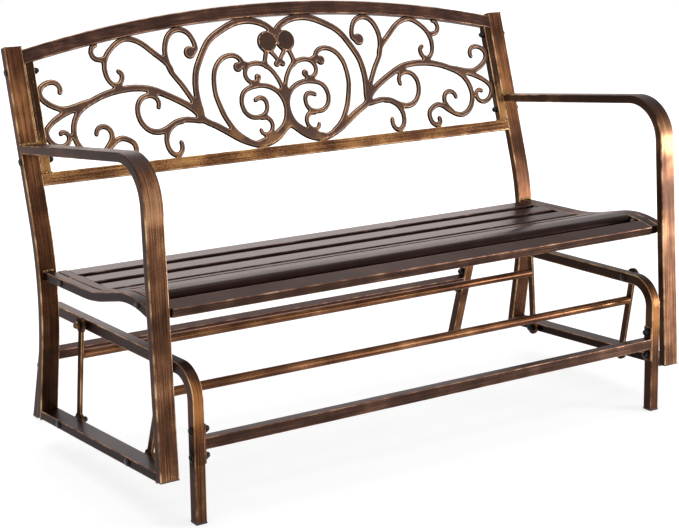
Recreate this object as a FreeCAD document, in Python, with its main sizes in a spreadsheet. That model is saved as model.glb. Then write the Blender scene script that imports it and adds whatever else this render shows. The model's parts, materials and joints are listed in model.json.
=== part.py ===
"""Porch glider bench: a curved-arm steel seat frame hung on four short links
inside two arched base frames, with a cast scroll-work back.

Millimetres, +Z up, the front towards -Y, the origin on the floor in the middle
of the bench's plan outline.
"""

import FreeCAD
import Part
import Sketcher

import math
import os
from types import SimpleNamespace

# Driving dimensions, in millimetres and degrees
SIZES = {
    # side frames of the sliding seat
    "frame_centre_x": 616.0,
    "frame_width": 38.0,
    "frame_depth": 18.0,
    "tube_wall": 1.5,
    "leg_bottom_y": -337.4,
    "leg_bottom_z": 90.7,
    "arm_corner_y": -291.2,
    "arm_corner_z": 666.1,
    "arm_bend_radius": 85.0,
    "arm_end_y": 226.4,
    "arm_end_z": 604.0,
    "post_bottom_y": 175.8,
    "post_bottom_z": 64.0,
    "post_corner_y": 139.3,
    "post_corner_z": 334.6,
    "post_bend_radius": 600.0,
    "post_top_y": 289.3,
    "post_top_z": 797.7,
    "skid_front_y": -337.0,
    "skid_front_z": 97.2,
    "skid_rear_y": 175.0,
    "skid_rear_z": 68.5,
    "plug_flange": 2.0,
    "plug_depth": 14.0,
    "plug_fit": 0.1,
    # seat
    "seat_rail_width": 20.0,
    "seat_rail_depth": 18.0,
    "side_rail_outer_x": 625.0,
    "side_rail_front_y": -313.8,
    "side_rail_front_z": 381.7,
    "seat_crest_y": -218.5,
    "seat_crest_z": 402.7,
    "seat_crest_radius": 219.0,
    "seat_hollow_y": -66.7,
    "seat_hollow_z": 366.3,
    "seat_hollow_radius": 409.0,
    "side_rail_rear_y": 155.0,
    "side_rail_rear_z": 360.7,
    "seat_gap": 3.0,
    "end_rail_front": 13.2,
    "end_rail_rear": 20.0,
    "front_bar_width": 38.0,
    "front_bar_lead": 3.5,
    "waterfall_front_y": -240.0,
    "waterfall_rear_y": -154.0,
    "waterfall_front_depth": 18.0,
    "waterfall_nose": 14.0,
    "waterfall_crest_radius": 150.0,
    "slat_width": 47.0,
    "slat_depth": 12.0,
    "slat_wall": 1.2,
    "first_slat_y": -106.0,
    "slat_pitch": 71.5,
    "seat_bolt_front_y": -252.0,
    "seat_bolt_front_z": 394.8,
    # backrest
    "back_y": 194.0,
    "back_z": 532.9,
    "back_depth": 18.0,
    "back_rail_height": 25.0,
    "back_side_width": 20.0,
    "back_arch_height": 29.0,
    "back_arch_middle": 326.5,
    "back_arch_end": 260.0,
    "back_bolt_low": 52.0,
    "back_bolt_high": 233.0,
    "scroll_thickness": 8.0,
    "scroll_setback": 4.0,
    "scroll_member_width": 12.0,
    "scroll_arc_tolerance": 0.5,
    # base
    "base_centre_x": 559.0,
    "base_width": 22.0,
    "base_front_corner_y": -339.0,
    "base_front_corner_z": 278.9,
    "base_rear_corner_y": 273.6,
    "base_rear_corner_z": 263.9,
    "base_bend_radius": 52.0,
    "front_foot_y": -346.0,
    "rear_foot_y": 345.4,
    "arch_bottom_z": 111.0,
    "sleeve_above": 78.0,
    "sleeve_shoulder": 12.0,
    "sleeve_fit": 0.1,
    "foot_height": 4.0,
    "foot_stem": 16.0,
    "crossbar_front_z": 149.0,
    "crossbar_rear_z": 147.0,
    "crossbar_plate": 3.0,
    "crossbar_plate_height": 75.0,
    "crossbar_bolt_offset": 25.0,
    # glide links
    "pivot_front_top_y": -258.0,
    "pivot_front_top_z": 277.0,
    "pivot_front_low_y": -217.0,
    "pivot_front_low_z": 90.6,
    "pivot_rear_top_y": 85.0,
    "pivot_rear_top_z": 268.5,
    "pivot_rear_low_y": 81.0,
    "pivot_rear_low_z": 74.3,
    "link_width": 16.0,
    "link_thickness": 6.0,
    "link_eye_radius": 15.5,
    "link_bar_drop": 60.0,
    "swing_bar_diameter": 18.0,
    "bushing_flange": 5.5,
    "bushing_flange_radius": 10.0,
    "bushing_wall": 2.5,
    "running_gap": 0.1,
    "pivot_fit": 0.05,
    "free_pivot_fit": 1.3,
    # fasteners
    "bolt_diameter": 8.0,
    "bolt_head_radius": 8.0,
    "bolt_head_height": 4.5,
    "bolt_fit": 0.2,
    "thread_fit": 0.05,
    "nut_across_flats": 13.0,
    "nut_height": 6.5,
    "nut_dome": 5.8,
    "nut_engagement": 8.0,
    "washer_thickness": 1.0,
    "washer_radius": 8.5,
}


class Size:
    """A length or angle: its value and the sheet expression that gives it."""

    def __init__(self, value, text):
        self.value = float(value)
        self.text = text

    def __add__(self, other):
        other = as_size(other)
        return Size(self.value + other.value, f"({self.text} + {other.text})")

    __radd__ = __add__

    def __sub__(self, other):
        other = as_size(other)
        return Size(self.value - other.value, f"({self.text} - {other.text})")

    def __rsub__(self, other):
        return as_size(other) - self

    def __mul__(self, other):
        other = as_size(other)
        return Size(self.value * other.value, f"({self.text} * {other.text})")

    __rmul__ = __mul__

    def __truediv__(self, other):
        other = as_size(other)
        return Size(self.value / other.value, f"({self.text} / {other.text})")

    def __rtruediv__(self, other):
        return as_size(other) / self

    def __neg__(self):
        return Size(-self.value, f"(-1 * {self.text})")


def as_size(number):
    """Take a plain number as a Size."""
    if isinstance(number, Size):
        return number
    return Size(number, f"({float(number)})")


def sine(angle):
    return Size(math.sin(math.radians(angle.value)), f"sin({angle.text})")


def cosine(angle):
    return Size(math.cos(math.radians(angle.value)), f"cos({angle.text})")


def slope_angle(rise, run):
    """The angle in degrees whose tangent is rise over run."""
    angle = math.degrees(math.atan(rise.value / run.value))
    return Size(angle, f"(atan({rise.text} / ({run.text})) / 1deg)")


def length_of(across, along):
    """The length of a segment from its two components."""
    text = f"sqrt({across.text} * {across.text} + {along.text} * {along.text})"
    return Size(math.hypot(across.value, along.value), text)


doc = FreeCAD.newDocument("GliderBench")
sheet = doc.addObject("Spreadsheet::Sheet", "Sizes")
for row, (alias, number) in enumerate(SIZES.items(), start=1):
    sheet.set(f"A{row}", alias)
    sheet.set(f"B{row}", str(number))
    sheet.setAlias(f"B{row}", alias)
doc.recompute()
s = SimpleNamespace(**{alias: Size(number, f"Sizes.{alias}") for alias, number in SIZES.items()})
ZERO = as_size(0)


def vec(x, y=0.0, z=0.0):
    return FreeCAD.Vector(x, y, z)


# Sketch helpers
def new_body(name):
    return doc.addObject("PartDesign::Body", name)


def origin_plane(body, role):
    for feature in body.Origin.OriginFeatures:
        if feature.Role == role:
            return feature
    raise ValueError(role)


def new_sketch(body, name, role, offset=None):
    """A sketch on one of the body's own origin planes, moved off it if asked."""
    sketch = body.newObject("Sketcher::SketchObject", name)
    sketch.AttachmentSupport = [(origin_plane(body, role), "")]
    sketch.MapMode = "FlatFace"
    if offset is not None:
        sketch.AttachmentOffset = FreeCAD.Placement(vec(0, 0, offset.value), FreeCAD.Rotation())
        sketch.setExpression("AttachmentOffset.Base.z", offset.text)
    return sketch


def bind(sketch, constraint, size):
    """Add a dimension and tie it to the sheet."""
    index = sketch.addConstraint(constraint)
    sketch.setExpression(f"Constraints[{index}]", size.text)


def fix_point(sketch, geometry, end, point):
    """Hold a point at its two distances from the sketch origin."""
    across, up = point
    bind(sketch, Sketcher.Constraint("DistanceX", -1, 1, geometry, end, across.value), across)
    bind(sketch, Sketcher.Constraint("DistanceY", -1, 1, geometry, end, up.value), up)


def add_polygon(sketch, points):
    """A closed outline with straight sides."""
    first = sketch.GeometryCount
    count = len(points)
    for index, point in enumerate(points):
        following = points[(index + 1) % count]
        start = vec(point[0].value, point[1].value)
        finish = vec(following[0].value, following[1].value)
        sketch.addGeometry(Part.LineSegment(start, finish))
    for index, point in enumerate(points):
        here = first + index
        after = first + (index + 1) % count
        sketch.addConstraint(Sketcher.Constraint("Coincident", here, 2, after, 1))
        fix_point(sketch, here, 1, point)


def add_rectangle(sketch, width, height):
    """A rectangle centred on the sketch origin."""
    first = sketch.GeometryCount
    across = width.value / 2
    up = height.value / 2
    corners = [vec(-across, -up), vec(across, -up), vec(across, up), vec(-across, up)]
    for index in range(4):
        sketch.addGeometry(Part.LineSegment(corners[index], corners[(index + 1) % 4]))
    for index in range(4):
        sketch.addConstraint(
            Sketcher.Constraint("Coincident", first + index, 2, first + (index + 1) % 4, 1)
        )
    for index in (0, 2):
        sketch.addConstraint(Sketcher.Constraint("Horizontal", first + index))
    for index in (1, 3):
        sketch.addConstraint(Sketcher.Constraint("Vertical", first + index))
    sketch.addConstraint(Sketcher.Constraint("Symmetric", first, 1, first + 2, 1, -1, 1))
    bind(sketch, Sketcher.Constraint("DistanceX", first, 1, first, 2, width.value), width)
    bind(sketch, Sketcher.Constraint("DistanceY", first + 1, 1, first + 1, 2, height.value), height)


def add_ring(sketch, width, height, wall):
    """The section of a rectangular tube."""
    add_rectangle(sketch, width, height)
    add_rectangle(sketch, width - 2 * wall, height - 2 * wall)


def add_circle(sketch, centre, radius):
    place = vec(centre[0].value, centre[1].value)
    index = sketch.addGeometry(Part.Circle(place, vec(0, 0, 1), radius.value))
    bind(sketch, Sketcher.Constraint("Radius", index, radius.value), radius)
    fix_point(sketch, index, 3, centre)


def round_corner(before, corner, after, radius):
    """The tangent points and middle of the arc that rounds a corner."""
    towards_before = (before - corner).normalize()
    towards_after = (after - corner).normalize()
    half = towards_before.getAngle(towards_after) / 2
    reach = radius / math.tan(half)
    bisector = (towards_before + towards_after).normalize()
    start = corner + towards_before * reach
    finish = corner + towards_after * reach
    middle = corner + bisector * (radius / math.sin(half) - radius)
    return start, middle, finish


def add_rounded_path(sketch, corners, radii, closed=False):
    """Straight runs through the corners with a tangent arc wherever a radius is given.

    radii has one entry for each corner, None where the corner stays sharp; the ends
    of an open path are always sharp.
    """
    places = [vec(point[0].value, point[1].value) for point in corners]
    count = len(places)
    runs = count if closed else count - 1
    starts = list(places)
    finishes = list(places)
    middles = [None] * count
    for index, radius in enumerate(radii):
        if radius is not None:
            before = places[index - 1]
            after = places[(index + 1) % count]
            bend = round_corner(before, places[index], after, radius.value)
            finishes[index], middles[index], starts[index] = bend
    lines = []
    for index in range(runs):
        following = (index + 1) % count
        lines.append(sketch.addGeometry(Part.LineSegment(starts[index], finishes[following])))
    for index, corner in enumerate(corners):
        incoming = lines[index - 1] if (closed or index > 0) else None
        outgoing = lines[index] if index < runs else None
        if middles[index] is None:
            if incoming is None:
                fix_point(sketch, outgoing, 1, corner)
            else:
                fix_point(sketch, incoming, 2, corner)
                if outgoing is not None:
                    sketch.addConstraint(
                        Sketcher.Constraint("Coincident", incoming, 2, outgoing, 1)
                    )
            continue
        arc = Part.Arc(finishes[index], middles[index], starts[index])
        bend = sketch.addGeometry(arc)
        begin = sketch.getPoint(bend, 1)
        near, far = (1, 2) if (begin - finishes[index]).Length < 1e-4 else (2, 1)
        sketch.addConstraint(Sketcher.Constraint("Tangent", incoming, 2, bend, near))
        sketch.addConstraint(Sketcher.Constraint("Tangent", bend, far, outgoing, 1))
        bind(sketch, Sketcher.Constraint("Radius", bend, radii[index].value), radii[index])
        mark = sketch.addGeometry(Part.Point(places[index]), True)
        sketch.addConstraint(Sketcher.Constraint("PointOnObject", mark, 1, incoming))
        sketch.addConstraint(Sketcher.Constraint("PointOnObject", mark, 1, outgoing))
        fix_point(sketch, mark, 1, corner)


# Feature helpers
def pad(body, sketch, length, symmetric=False, reversed_way=False):
    feature = body.newObject("PartDesign::Pad", sketch.Name + "Pad")
    feature.Profile = sketch
    feature.SideType = "Symmetric" if symmetric else "One side"
    feature.Reversed = reversed_way
    feature.Length = length.value
    feature.setExpression("Length", length.text)
    sketch.Visibility = False
    return feature


def pocket(body, sketch, length=None, symmetric=False, reversed_way=False):
    """Cut the sketch out of the body, right through when no length is given."""
    feature = body.newObject("PartDesign::Pocket", sketch.Name + "Pocket")
    feature.Profile = sketch
    feature.SideType = "Symmetric" if symmetric else "One side"
    feature.Reversed = reversed_way
    if length is None:
        feature.Type = "ThroughAll"
    else:
        feature.Length = length.value
        feature.setExpression("Length", length.text)
    sketch.Visibility = False
    return feature


def revolve(body, sketch, role):
    """Turn the sketch a full circle about one of the body's origin axes."""
    feature = body.newObject("PartDesign::Revolution", sketch.Name + "Turned")
    feature.Profile = sketch
    feature.ReferenceAxis = (origin_plane(body, role), [""])
    feature.Angle = 360
    sketch.Visibility = False
    return feature


def place(item, x=ZERO, y=ZERO, z=ZERO, tilt=None):
    """Put a piece at its spot, turned by tilt degrees about the bench's X direction."""
    angle = 0.0 if tilt is None else tilt.value
    item.Placement = FreeCAD.Placement(
        vec(x.value, y.value, z.value), FreeCAD.Rotation(vec(1, 0, 0), angle)
    )
    for axis, size in zip("xyz", (x, y, z)):
        item.setExpression(f"Placement.Base.{axis}", size.text)
    if tilt is not None:
        item.setExpression("Placement.Rotation.Angle", tilt.text)


def drill_across(body, name, spots, radius):
    """Holes right through a piece along X at points of its own YZ plane."""
    sketch = new_sketch(body, name, "YZ_Plane")
    for spot in spots:
        add_circle(sketch, spot, radius)
    pocket(body, sketch, symmetric=True)


def bent_tube(name, role, corners, radii, width, depth, wall=None):
    """A tube swept along a bent path, or the solid bar of the same outline."""
    body = new_body(name)
    path = new_sketch(body, name + "Path", role)
    add_rounded_path(path, corners, radii)
    doc.recompute()
    section = body.newObject("Sketcher::SketchObject", name + "Section")
    section.AttachmentSupport = [(path, "Edge1")]
    section.MapMode = "NormalToEdge"
    section.MapPathParameter = 0.0
    if wall is None:
        add_rectangle(section, width, depth)
    else:
        add_ring(section, width, depth, wall)
    doc.recompute()
    pipe = body.newObject("PartDesign::AdditivePipe", name + "Pipe")
    pipe.Profile = section
    pipe.Spine = (path, [])
    path.Visibility = False
    section.Visibility = False
    return body


def cross_tube(name, length, depth, height, wall):
    """A straight rectangular tube along X, centred on its own origin."""
    body = new_body(name)
    section = new_sketch(body, name + "Section", "YZ_Plane")
    add_ring(section, depth, height, wall)
    pad(body, section, length, symmetric=True)
    return body


def cut_by(name, base, tools):
    """What is left of a piece once its neighbours' outlines are taken away."""
    result = base
    for index, tool in enumerate(tools, start=1):
        cut = doc.addObject("Part::Cut", f"{name}_cut_{index}")
        cut.Base = result
        cut.Tool = tool
        result = cut
    return result


def group(name, members):
    compound = doc.addObject("Part::Compound", name)
    compound.Links = members
    return compound


def mirrored(name, source):
    """The same piece on the other side of the bench."""
    mirror = doc.addObject("Part::Mirroring", name)
    mirror.Source = source
    mirror.Normal = vec(1, 0, 0)
    mirror.Base = vec(0, 0, 0)
    return mirror


nodes = []


def keep(name, item):
    """Name a finished piece."""
    item.Label = name
    nodes.append((name, item))
    return item


def keep_pair(stem, left):
    """Keep the left piece and its mirror image on the right."""
    keep(f"{stem}_left", left)
    keep(f"{stem}_right", mirrored(f"{stem}_right", left))


def copies(name, master, spots):
    """Placed copies of one fastener along X; each spot is (x, y, z, faces_right)."""
    links = []
    for index, (x, y, z, faces_right) in enumerate(spots, start=1):
        link = doc.addObject("App::Link", f"{name}_{index}")
        link.LinkedObject = master
        turn = FreeCAD.Rotation(vec(0, 0, 1), 0 if faces_right else 180)
        link.Placement = FreeCAD.Placement(vec(x.value, y.value, z.value), turn)
        for axis, size in zip("xyz", (x, y, z)):
            link.setExpression(f"Placement.Base.{axis}", size.text)
        links.append(link)
    return keep(name, group(name, links))


def both_sides(x, spots):
    """Each (y, z) spot on the left of the bench and again on the right."""
    placed = []
    for y, z in spots:
        placed.append((-x, y, z, False))
        placed.append((x, y, z, True))
    return placed


# Shared places
half_frame = s.frame_width / 2
frame_inner_x = s.frame_centre_x - half_frame
frame_outer_x = s.frame_centre_x + half_frame
base_inner_x = s.base_centre_x - s.base_width / 2
base_outer_x = s.base_centre_x + s.base_width / 2
bolt_hole = s.bolt_diameter / 2 + s.bolt_fit
post_lean = slope_angle(s.post_top_y - s.post_corner_y, s.post_top_z - s.post_corner_z)


def on_back(distance_up, depth):
    """A point of the backrest's slanted frame as bench (y, z)."""
    y = s.back_y + distance_up * sine(post_lean) + depth * cosine(post_lean)
    z = s.back_z + distance_up * cosine(post_lean) - depth * sine(post_lean)
    return y, z


def on_line(start, finish, y):
    """The point of a straight run at a given y."""
    z = start[1] + (finish[1] - start[1]) * (y - start[0]) / (finish[0] - start[0])
    return y, z


# Side frames of the sliding seat
leg_bottom = (s.leg_bottom_y, s.leg_bottom_z)
arm_corner = (s.arm_corner_y, s.arm_corner_z)
arm_end = (s.arm_end_y, s.arm_end_z)
post_bottom = (s.post_bottom_y, s.post_bottom_z)
post_corner = (s.post_corner_y, s.post_corner_z)
post_top = (s.post_top_y, s.post_top_z)
back_bolts = [on_back(up, s.back_depth / 2) for up in (s.back_bolt_low, s.back_bolt_high)]

post_path = [post_bottom, post_corner, post_top]
post_radii = [None, s.post_bend_radius, None]
# The outlines that neighbours are cut to run past the tube ends, over the plugs
below_post = on_line(post_bottom, post_corner, s.post_bottom_y + 2)
above_post = on_line(post_corner, post_top, s.post_top_y + 6)
post_outline = bent_tube(
    "PostOutline",
    "YZ_Plane",
    [below_post, post_corner, above_post],
    post_radii,
    s.frame_width,
    s.frame_depth,
)
place(post_outline, x=-s.frame_centre_x)

post = bent_tube(
    "BackPost", "YZ_Plane", post_path, post_radii, s.frame_width, s.frame_depth, s.tube_wall
)
drill_across(post, "BackBoltHoles", back_bolts, bolt_hole)
place(post, x=-s.frame_centre_x)
keep_pair("back_post", post)

arm_path = [leg_bottom, arm_corner, arm_end]
arm_radii = [None, s.arm_bend_radius, None]
below_leg = on_line(leg_bottom, arm_corner, s.leg_bottom_y - 1.2)
leg_outline = bent_tube(
    "LegOutline",
    "YZ_Plane",
    [below_leg, arm_corner, arm_end],
    arm_radii,
    s.frame_width,
    s.frame_depth,
)
place(leg_outline, x=-s.frame_centre_x)
arm_leg = bent_tube(
    "ArmLeg", "YZ_Plane", arm_path, arm_radii, s.frame_width, s.frame_depth, s.tube_wall
)
place(arm_leg, x=-s.frame_centre_x)
keep_pair("arm_leg", cut_by("arm_leg", arm_leg, [post_outline]))

skid = bent_tube(
    "Skid",
    "YZ_Plane",
    [(s.skid_front_y, s.skid_front_z), (s.skid_rear_y, s.skid_rear_z)],
    [None, None],
    s.frame_width,
    s.frame_depth,
    s.tube_wall,
)
low_pivots = [
    (s.pivot_front_low_y, s.pivot_front_low_z),
    (s.pivot_rear_low_y, s.pivot_rear_low_z),
]
drill_across(skid, "LowPivotHoles", low_pivots, bolt_hole)
place(skid, x=-s.frame_centre_x)
keep_pair("skid", cut_by("skid", skid, [leg_outline, post_outline]))


def tube_plug(name, width, depth, wall, flange, stem, fit):
    """A push-in end plug: a flange as wide as the tube and a stem inside it."""
    body = new_body(name)
    face = new_sketch(body, name + "Flange", "XY_Plane")
    add_rectangle(face, width, depth)
    pad(body, face, flange, reversed_way=True)
    inside = new_sketch(body, name + "Stem", "XY_Plane")
    add_rectangle(inside, width - 2 * wall - 2 * fit, depth - 2 * wall - 2 * fit)
    pad(body, inside, stem)
    return body


def placed_plug(name, x, point, lean, upside_down=False):
    """One copy of the frame plug on a tube end whose run leans by lean degrees."""
    link = doc.addObject("App::Link", name)
    link.LinkedObject = frame_plug
    tilt = lean if not upside_down else lean + 180
    link.Placement = FreeCAD.Placement(
        vec(x.value, point[0].value, point[1].value), FreeCAD.Rotation(vec(1, 0, 0), tilt.value)
    )
    for axis, size in zip("xyz", (x, point[0], point[1])):
        link.setExpression(f"Placement.Base.{axis}", size.text)
    link.setExpression("Placement.Rotation.Angle", tilt.text)
    return link


frame_plug = tube_plug(
    "FramePlug", s.frame_width, s.frame_depth, s.tube_wall, s.plug_flange, s.plug_depth, s.plug_fit
)
leg_lean = -slope_angle(s.arm_corner_y - s.leg_bottom_y, s.arm_corner_z - s.leg_bottom_z)
post_low_lean = -slope_angle(s.post_corner_y - s.post_bottom_y, s.post_corner_z - s.post_bottom_z)
bottom_plugs = []
top_plugs = []
for side, x in (("Left", -s.frame_centre_x), ("Right", s.frame_centre_x)):
    bottom_plugs.append(placed_plug(f"LegPlug{side}", x, leg_bottom, leg_lean))
    bottom_plugs.append(placed_plug(f"PostPlug{side}", x, post_bottom, post_low_lean))
    top_plugs.append(placed_plug(f"TopPlug{side}", x, post_top, -post_lean, upside_down=True))
keep("frame_bottom_plugs", group("frame_bottom_plugs", bottom_plugs))
keep("post_top_caps", group("post_top_caps", top_plugs))


# Seat
seat_crest = (s.seat_crest_y, s.seat_crest_z)
seat_hollow = (s.seat_hollow_y, s.seat_hollow_z)
side_rail_front = (s.side_rail_front_y, s.side_rail_front_z)
side_rail_rear = (s.side_rail_rear_y, s.side_rail_rear_z)
end_rail_front = on_line(side_rail_front, seat_crest, s.side_rail_front_y + s.end_rail_front)
end_rail_rear = on_line(seat_hollow, side_rail_rear, s.side_rail_rear_y - s.end_rail_rear)
seat_radii = [None, s.seat_crest_radius, s.seat_hollow_radius, None]
side_rail_x = s.side_rail_outer_x - s.seat_rail_width / 2
end_rail_x = side_rail_x - s.seat_rail_width - s.seat_gap
end_rail_inner_x = end_rail_x - s.seat_rail_width / 2
seat_bolts = [
    (s.seat_bolt_front_y, s.seat_bolt_front_z),
    on_line(seat_hollow, side_rail_rear, s.first_slat_y + s.slat_pitch * 2.5),
]

side_rail = bent_tube(
    "SeatSideRail",
    "YZ_Plane",
    [side_rail_front, seat_crest, seat_hollow, side_rail_rear],
    seat_radii,
    s.seat_rail_width,
    s.seat_rail_depth,
    s.tube_wall,
)
drill_across(side_rail, "SideRailHoles", seat_bolts, bolt_hole)
place(side_rail, x=-side_rail_x)
keep_pair("seat_side_rail", cut_by("seat_side_rail", side_rail, [leg_outline, post_outline]))

end_rail = bent_tube(
    "SeatEndRail",
    "YZ_Plane",
    [end_rail_front, seat_crest, seat_hollow, end_rail_rear],
    seat_radii,
    s.seat_rail_width,
    s.seat_rail_depth,
    s.tube_wall,
)
drill_across(end_rail, "EndRailHoles", seat_bolts, bolt_hole)
place(end_rail, x=-end_rail_x)
keep_pair("seat_end_rail", end_rail)

seat_width = 2 * end_rail_inner_x
front_slope = slope_angle(seat_crest[1] - side_rail_front[1], seat_crest[0] - side_rail_front[0])
fall_slope = slope_angle(seat_hollow[1] - seat_crest[1], seat_hollow[0] - seat_crest[0])
rear_slope = slope_angle(side_rail_rear[1] - seat_hollow[1], side_rail_rear[0] - seat_hollow[0])

front_bar = cross_tube(
    "SeatFrontBar", seat_width, s.front_bar_width, s.seat_rail_depth, s.tube_wall
)
front_bar_reach = s.front_bar_width / 2 - s.front_bar_lead
place(
    front_bar,
    y=end_rail_front[0] + front_bar_reach * cosine(front_slope),
    z=end_rail_front[1] + front_bar_reach * sine(front_slope),
    tilt=front_slope,
)
keep("seat_front_bar", front_bar)

# The waterfall slat's top is level with the top of the end rails' crest
rail_half = s.seat_rail_depth / 2
crest_turn = (front_slope - fall_slope) / 2
crest_bulge = (s.seat_crest_radius + rail_half) * (1 / cosine(crest_turn) - 1)
top_at_crest = seat_crest[1] + rail_half / cosine(crest_turn) - crest_bulge
rear_top = on_line(seat_crest, seat_hollow, s.waterfall_rear_y)
rear_top_z = rear_top[1] + rail_half / cosine(fall_slope)


def waterfall_corners(inset):
    """The waterfall slat's outline, brought in by inset all round."""
    front = s.waterfall_front_y + inset
    rear = s.waterfall_rear_y - inset
    top = top_at_crest - inset
    fall = rear_top_z - inset
    crest_y = s.waterfall_rear_y + (top_at_crest - rear_top_z) / sine(fall_slope)
    return [
        (front, top_at_crest - s.waterfall_front_depth + inset),
        (front, top),
        (crest_y, top),
        (rear, fall),
        (rear, rear_top_z - s.waterfall_front_depth + inset),
    ]


waterfall = new_body("WaterfallSlat")
waterfall_section = new_sketch(waterfall, "WaterfallSection", "YZ_Plane")
for inset in (ZERO, s.tube_wall):
    add_rounded_path(
        waterfall_section,
        waterfall_corners(inset),
        [None, s.waterfall_nose - inset, s.waterfall_crest_radius - inset, None, None],
        closed=True,
    )
pad(waterfall, waterfall_section, seat_width, symmetric=True)
place(waterfall)
keep("seat_waterfall_slat", waterfall)

slat_rise = (s.seat_rail_depth - s.slat_depth) / 2
for index in range(4):
    slat = cross_tube(f"SeatSlat{index + 1}", seat_width, s.slat_width, s.slat_depth, s.slat_wall)
    slat_y = s.first_slat_y + index * s.slat_pitch
    if index == 0:
        slope = fall_slope
        spot = on_line(seat_crest, seat_hollow, slat_y)
    else:
        slope = rear_slope
        spot = on_line(seat_hollow, side_rail_rear, slat_y)
    place(
        slat,
        y=spot[0] - slat_rise * sine(slope),
        z=spot[1] + slat_rise * cosine(slope),
        tilt=slope,
    )
    keep(f"seat_slat_{index + 1}", slat)


# Backrest frame
def place_on_back(item):
    place(item, y=s.back_y, z=s.back_z, tilt=-post_lean)


def back_tube(name, length, centre_up, height):
    """A tube across the backrest, centred centre_up above its foot."""
    body = new_body(name)
    section = new_sketch(body, name + "Section", "YZ_Plane")
    for inset in (ZERO, s.tube_wall):
        add_polygon(
            section,
            [
                (inset, centre_up - height / 2 + inset),
                (s.back_depth - inset, centre_up - height / 2 + inset),
                (s.back_depth - inset, centre_up + height / 2 - inset),
                (inset, centre_up + height / 2 - inset),
            ],
        )
    pad(body, section, length, symmetric=True)
    return body


bottom_rail = back_tube(
    "BackBottomRail", 2 * frame_inner_x, s.back_rail_height / 2, s.back_rail_height
)
place_on_back(bottom_rail)
keep("backrest_bottom_rail", bottom_rail)


def arch_body(name, wall):
    """The bowed top tube, cut off square at the posts."""
    body = new_body(name)
    path = new_sketch(body, name + "Path", "XZ_Plane", offset=-s.back_depth / 2)
    ends = [(-frame_inner_x - 6, s.back_arch_end), (frame_inner_x + 6, s.back_arch_end)]
    middle = (ZERO, s.back_arch_middle)
    places = [vec(point[0].value, point[1].value) for point in (ends[0], middle, ends[1])]
    arc = sketch_arc(path, places)
    fix_point(path, arc, 1, ends[0] if path.getPoint(arc, 1).x < 0 else ends[1])
    fix_point(path, arc, 2, ends[1] if path.getPoint(arc, 1).x < 0 else ends[0])
    mark = path.addGeometry(Part.Point(places[1]), True)
    path.addConstraint(Sketcher.Constraint("PointOnObject", mark, 1, arc))
    fix_point(path, mark, 1, middle)
    doc.recompute()
    section = body.newObject("Sketcher::SketchObject", name + "Section")
    section.AttachmentSupport = [(path, "Edge1")]
    section.MapMode = "NormalToEdge"
    section.MapPathParameter = 0.0
    doc.recompute()
    sideways = abs(section.Placement.Rotation.multVec(vec(1, 0, 0)).y) > 0.5
    width, height = s.back_depth, s.back_arch_height
    if not sideways:
        width, height = height, width
    add_rectangle(section, width, height)
    if wall is not None:
        add_rectangle(section, width - 2 * wall, height - 2 * wall)
    doc.recompute()
    pipe = body.newObject("PartDesign::AdditivePipe", name + "Pipe")
    pipe.Profile = section
    pipe.Spine = (path, [])
    ends_sketch = new_sketch(body, name + "Ends", "XZ_Plane")
    for way in (-1, 1):
        near = way * frame_inner_x
        far = way * (frame_inner_x + 30)
        low = s.back_arch_end - 60
        high = s.back_arch_end + 60
        add_polygon(ends_sketch, [(near, low), (far, low), (far, high), (near, high)])
    pocket(body, ends_sketch, symmetric=True)
    place_on_back(body)
    return body


def sketch_arc(sketch, places):
    """An arc through three places."""
    return sketch.addGeometry(Part.Arc(*places))


arch_outline = arch_body("BackArchOutline", None)
back_arch = arch_body("BackArch", s.tube_wall)
keep("backrest_top_arch", back_arch)

side_tube = new_body("BackSideTube")
side_section = new_sketch(side_tube, "BackSideSection", "XY_Plane", offset=s.back_rail_height)
side_left = -frame_inner_x
side_right = side_left + s.back_side_width
for inset in (ZERO, s.tube_wall):
    add_polygon(
        side_section,
        [
            (side_left + inset, inset),
            (side_right - inset, inset),
            (side_right - inset, s.back_depth - inset),
            (side_left + inset, s.back_depth - inset),
        ],
    )
pad(side_tube, side_section, s.back_arch_end - s.back_rail_height)
drill_across(
    side_tube,
    "BackSideHoles",
    [(s.back_depth / 2, s.back_bolt_low), (s.back_depth / 2, s.back_bolt_high)],
    bolt_hole,
)
place_on_back(side_tube)
keep_pair("backrest_side_tube", cut_by("backrest_side_tube", side_tube, [arch_outline]))


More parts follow.
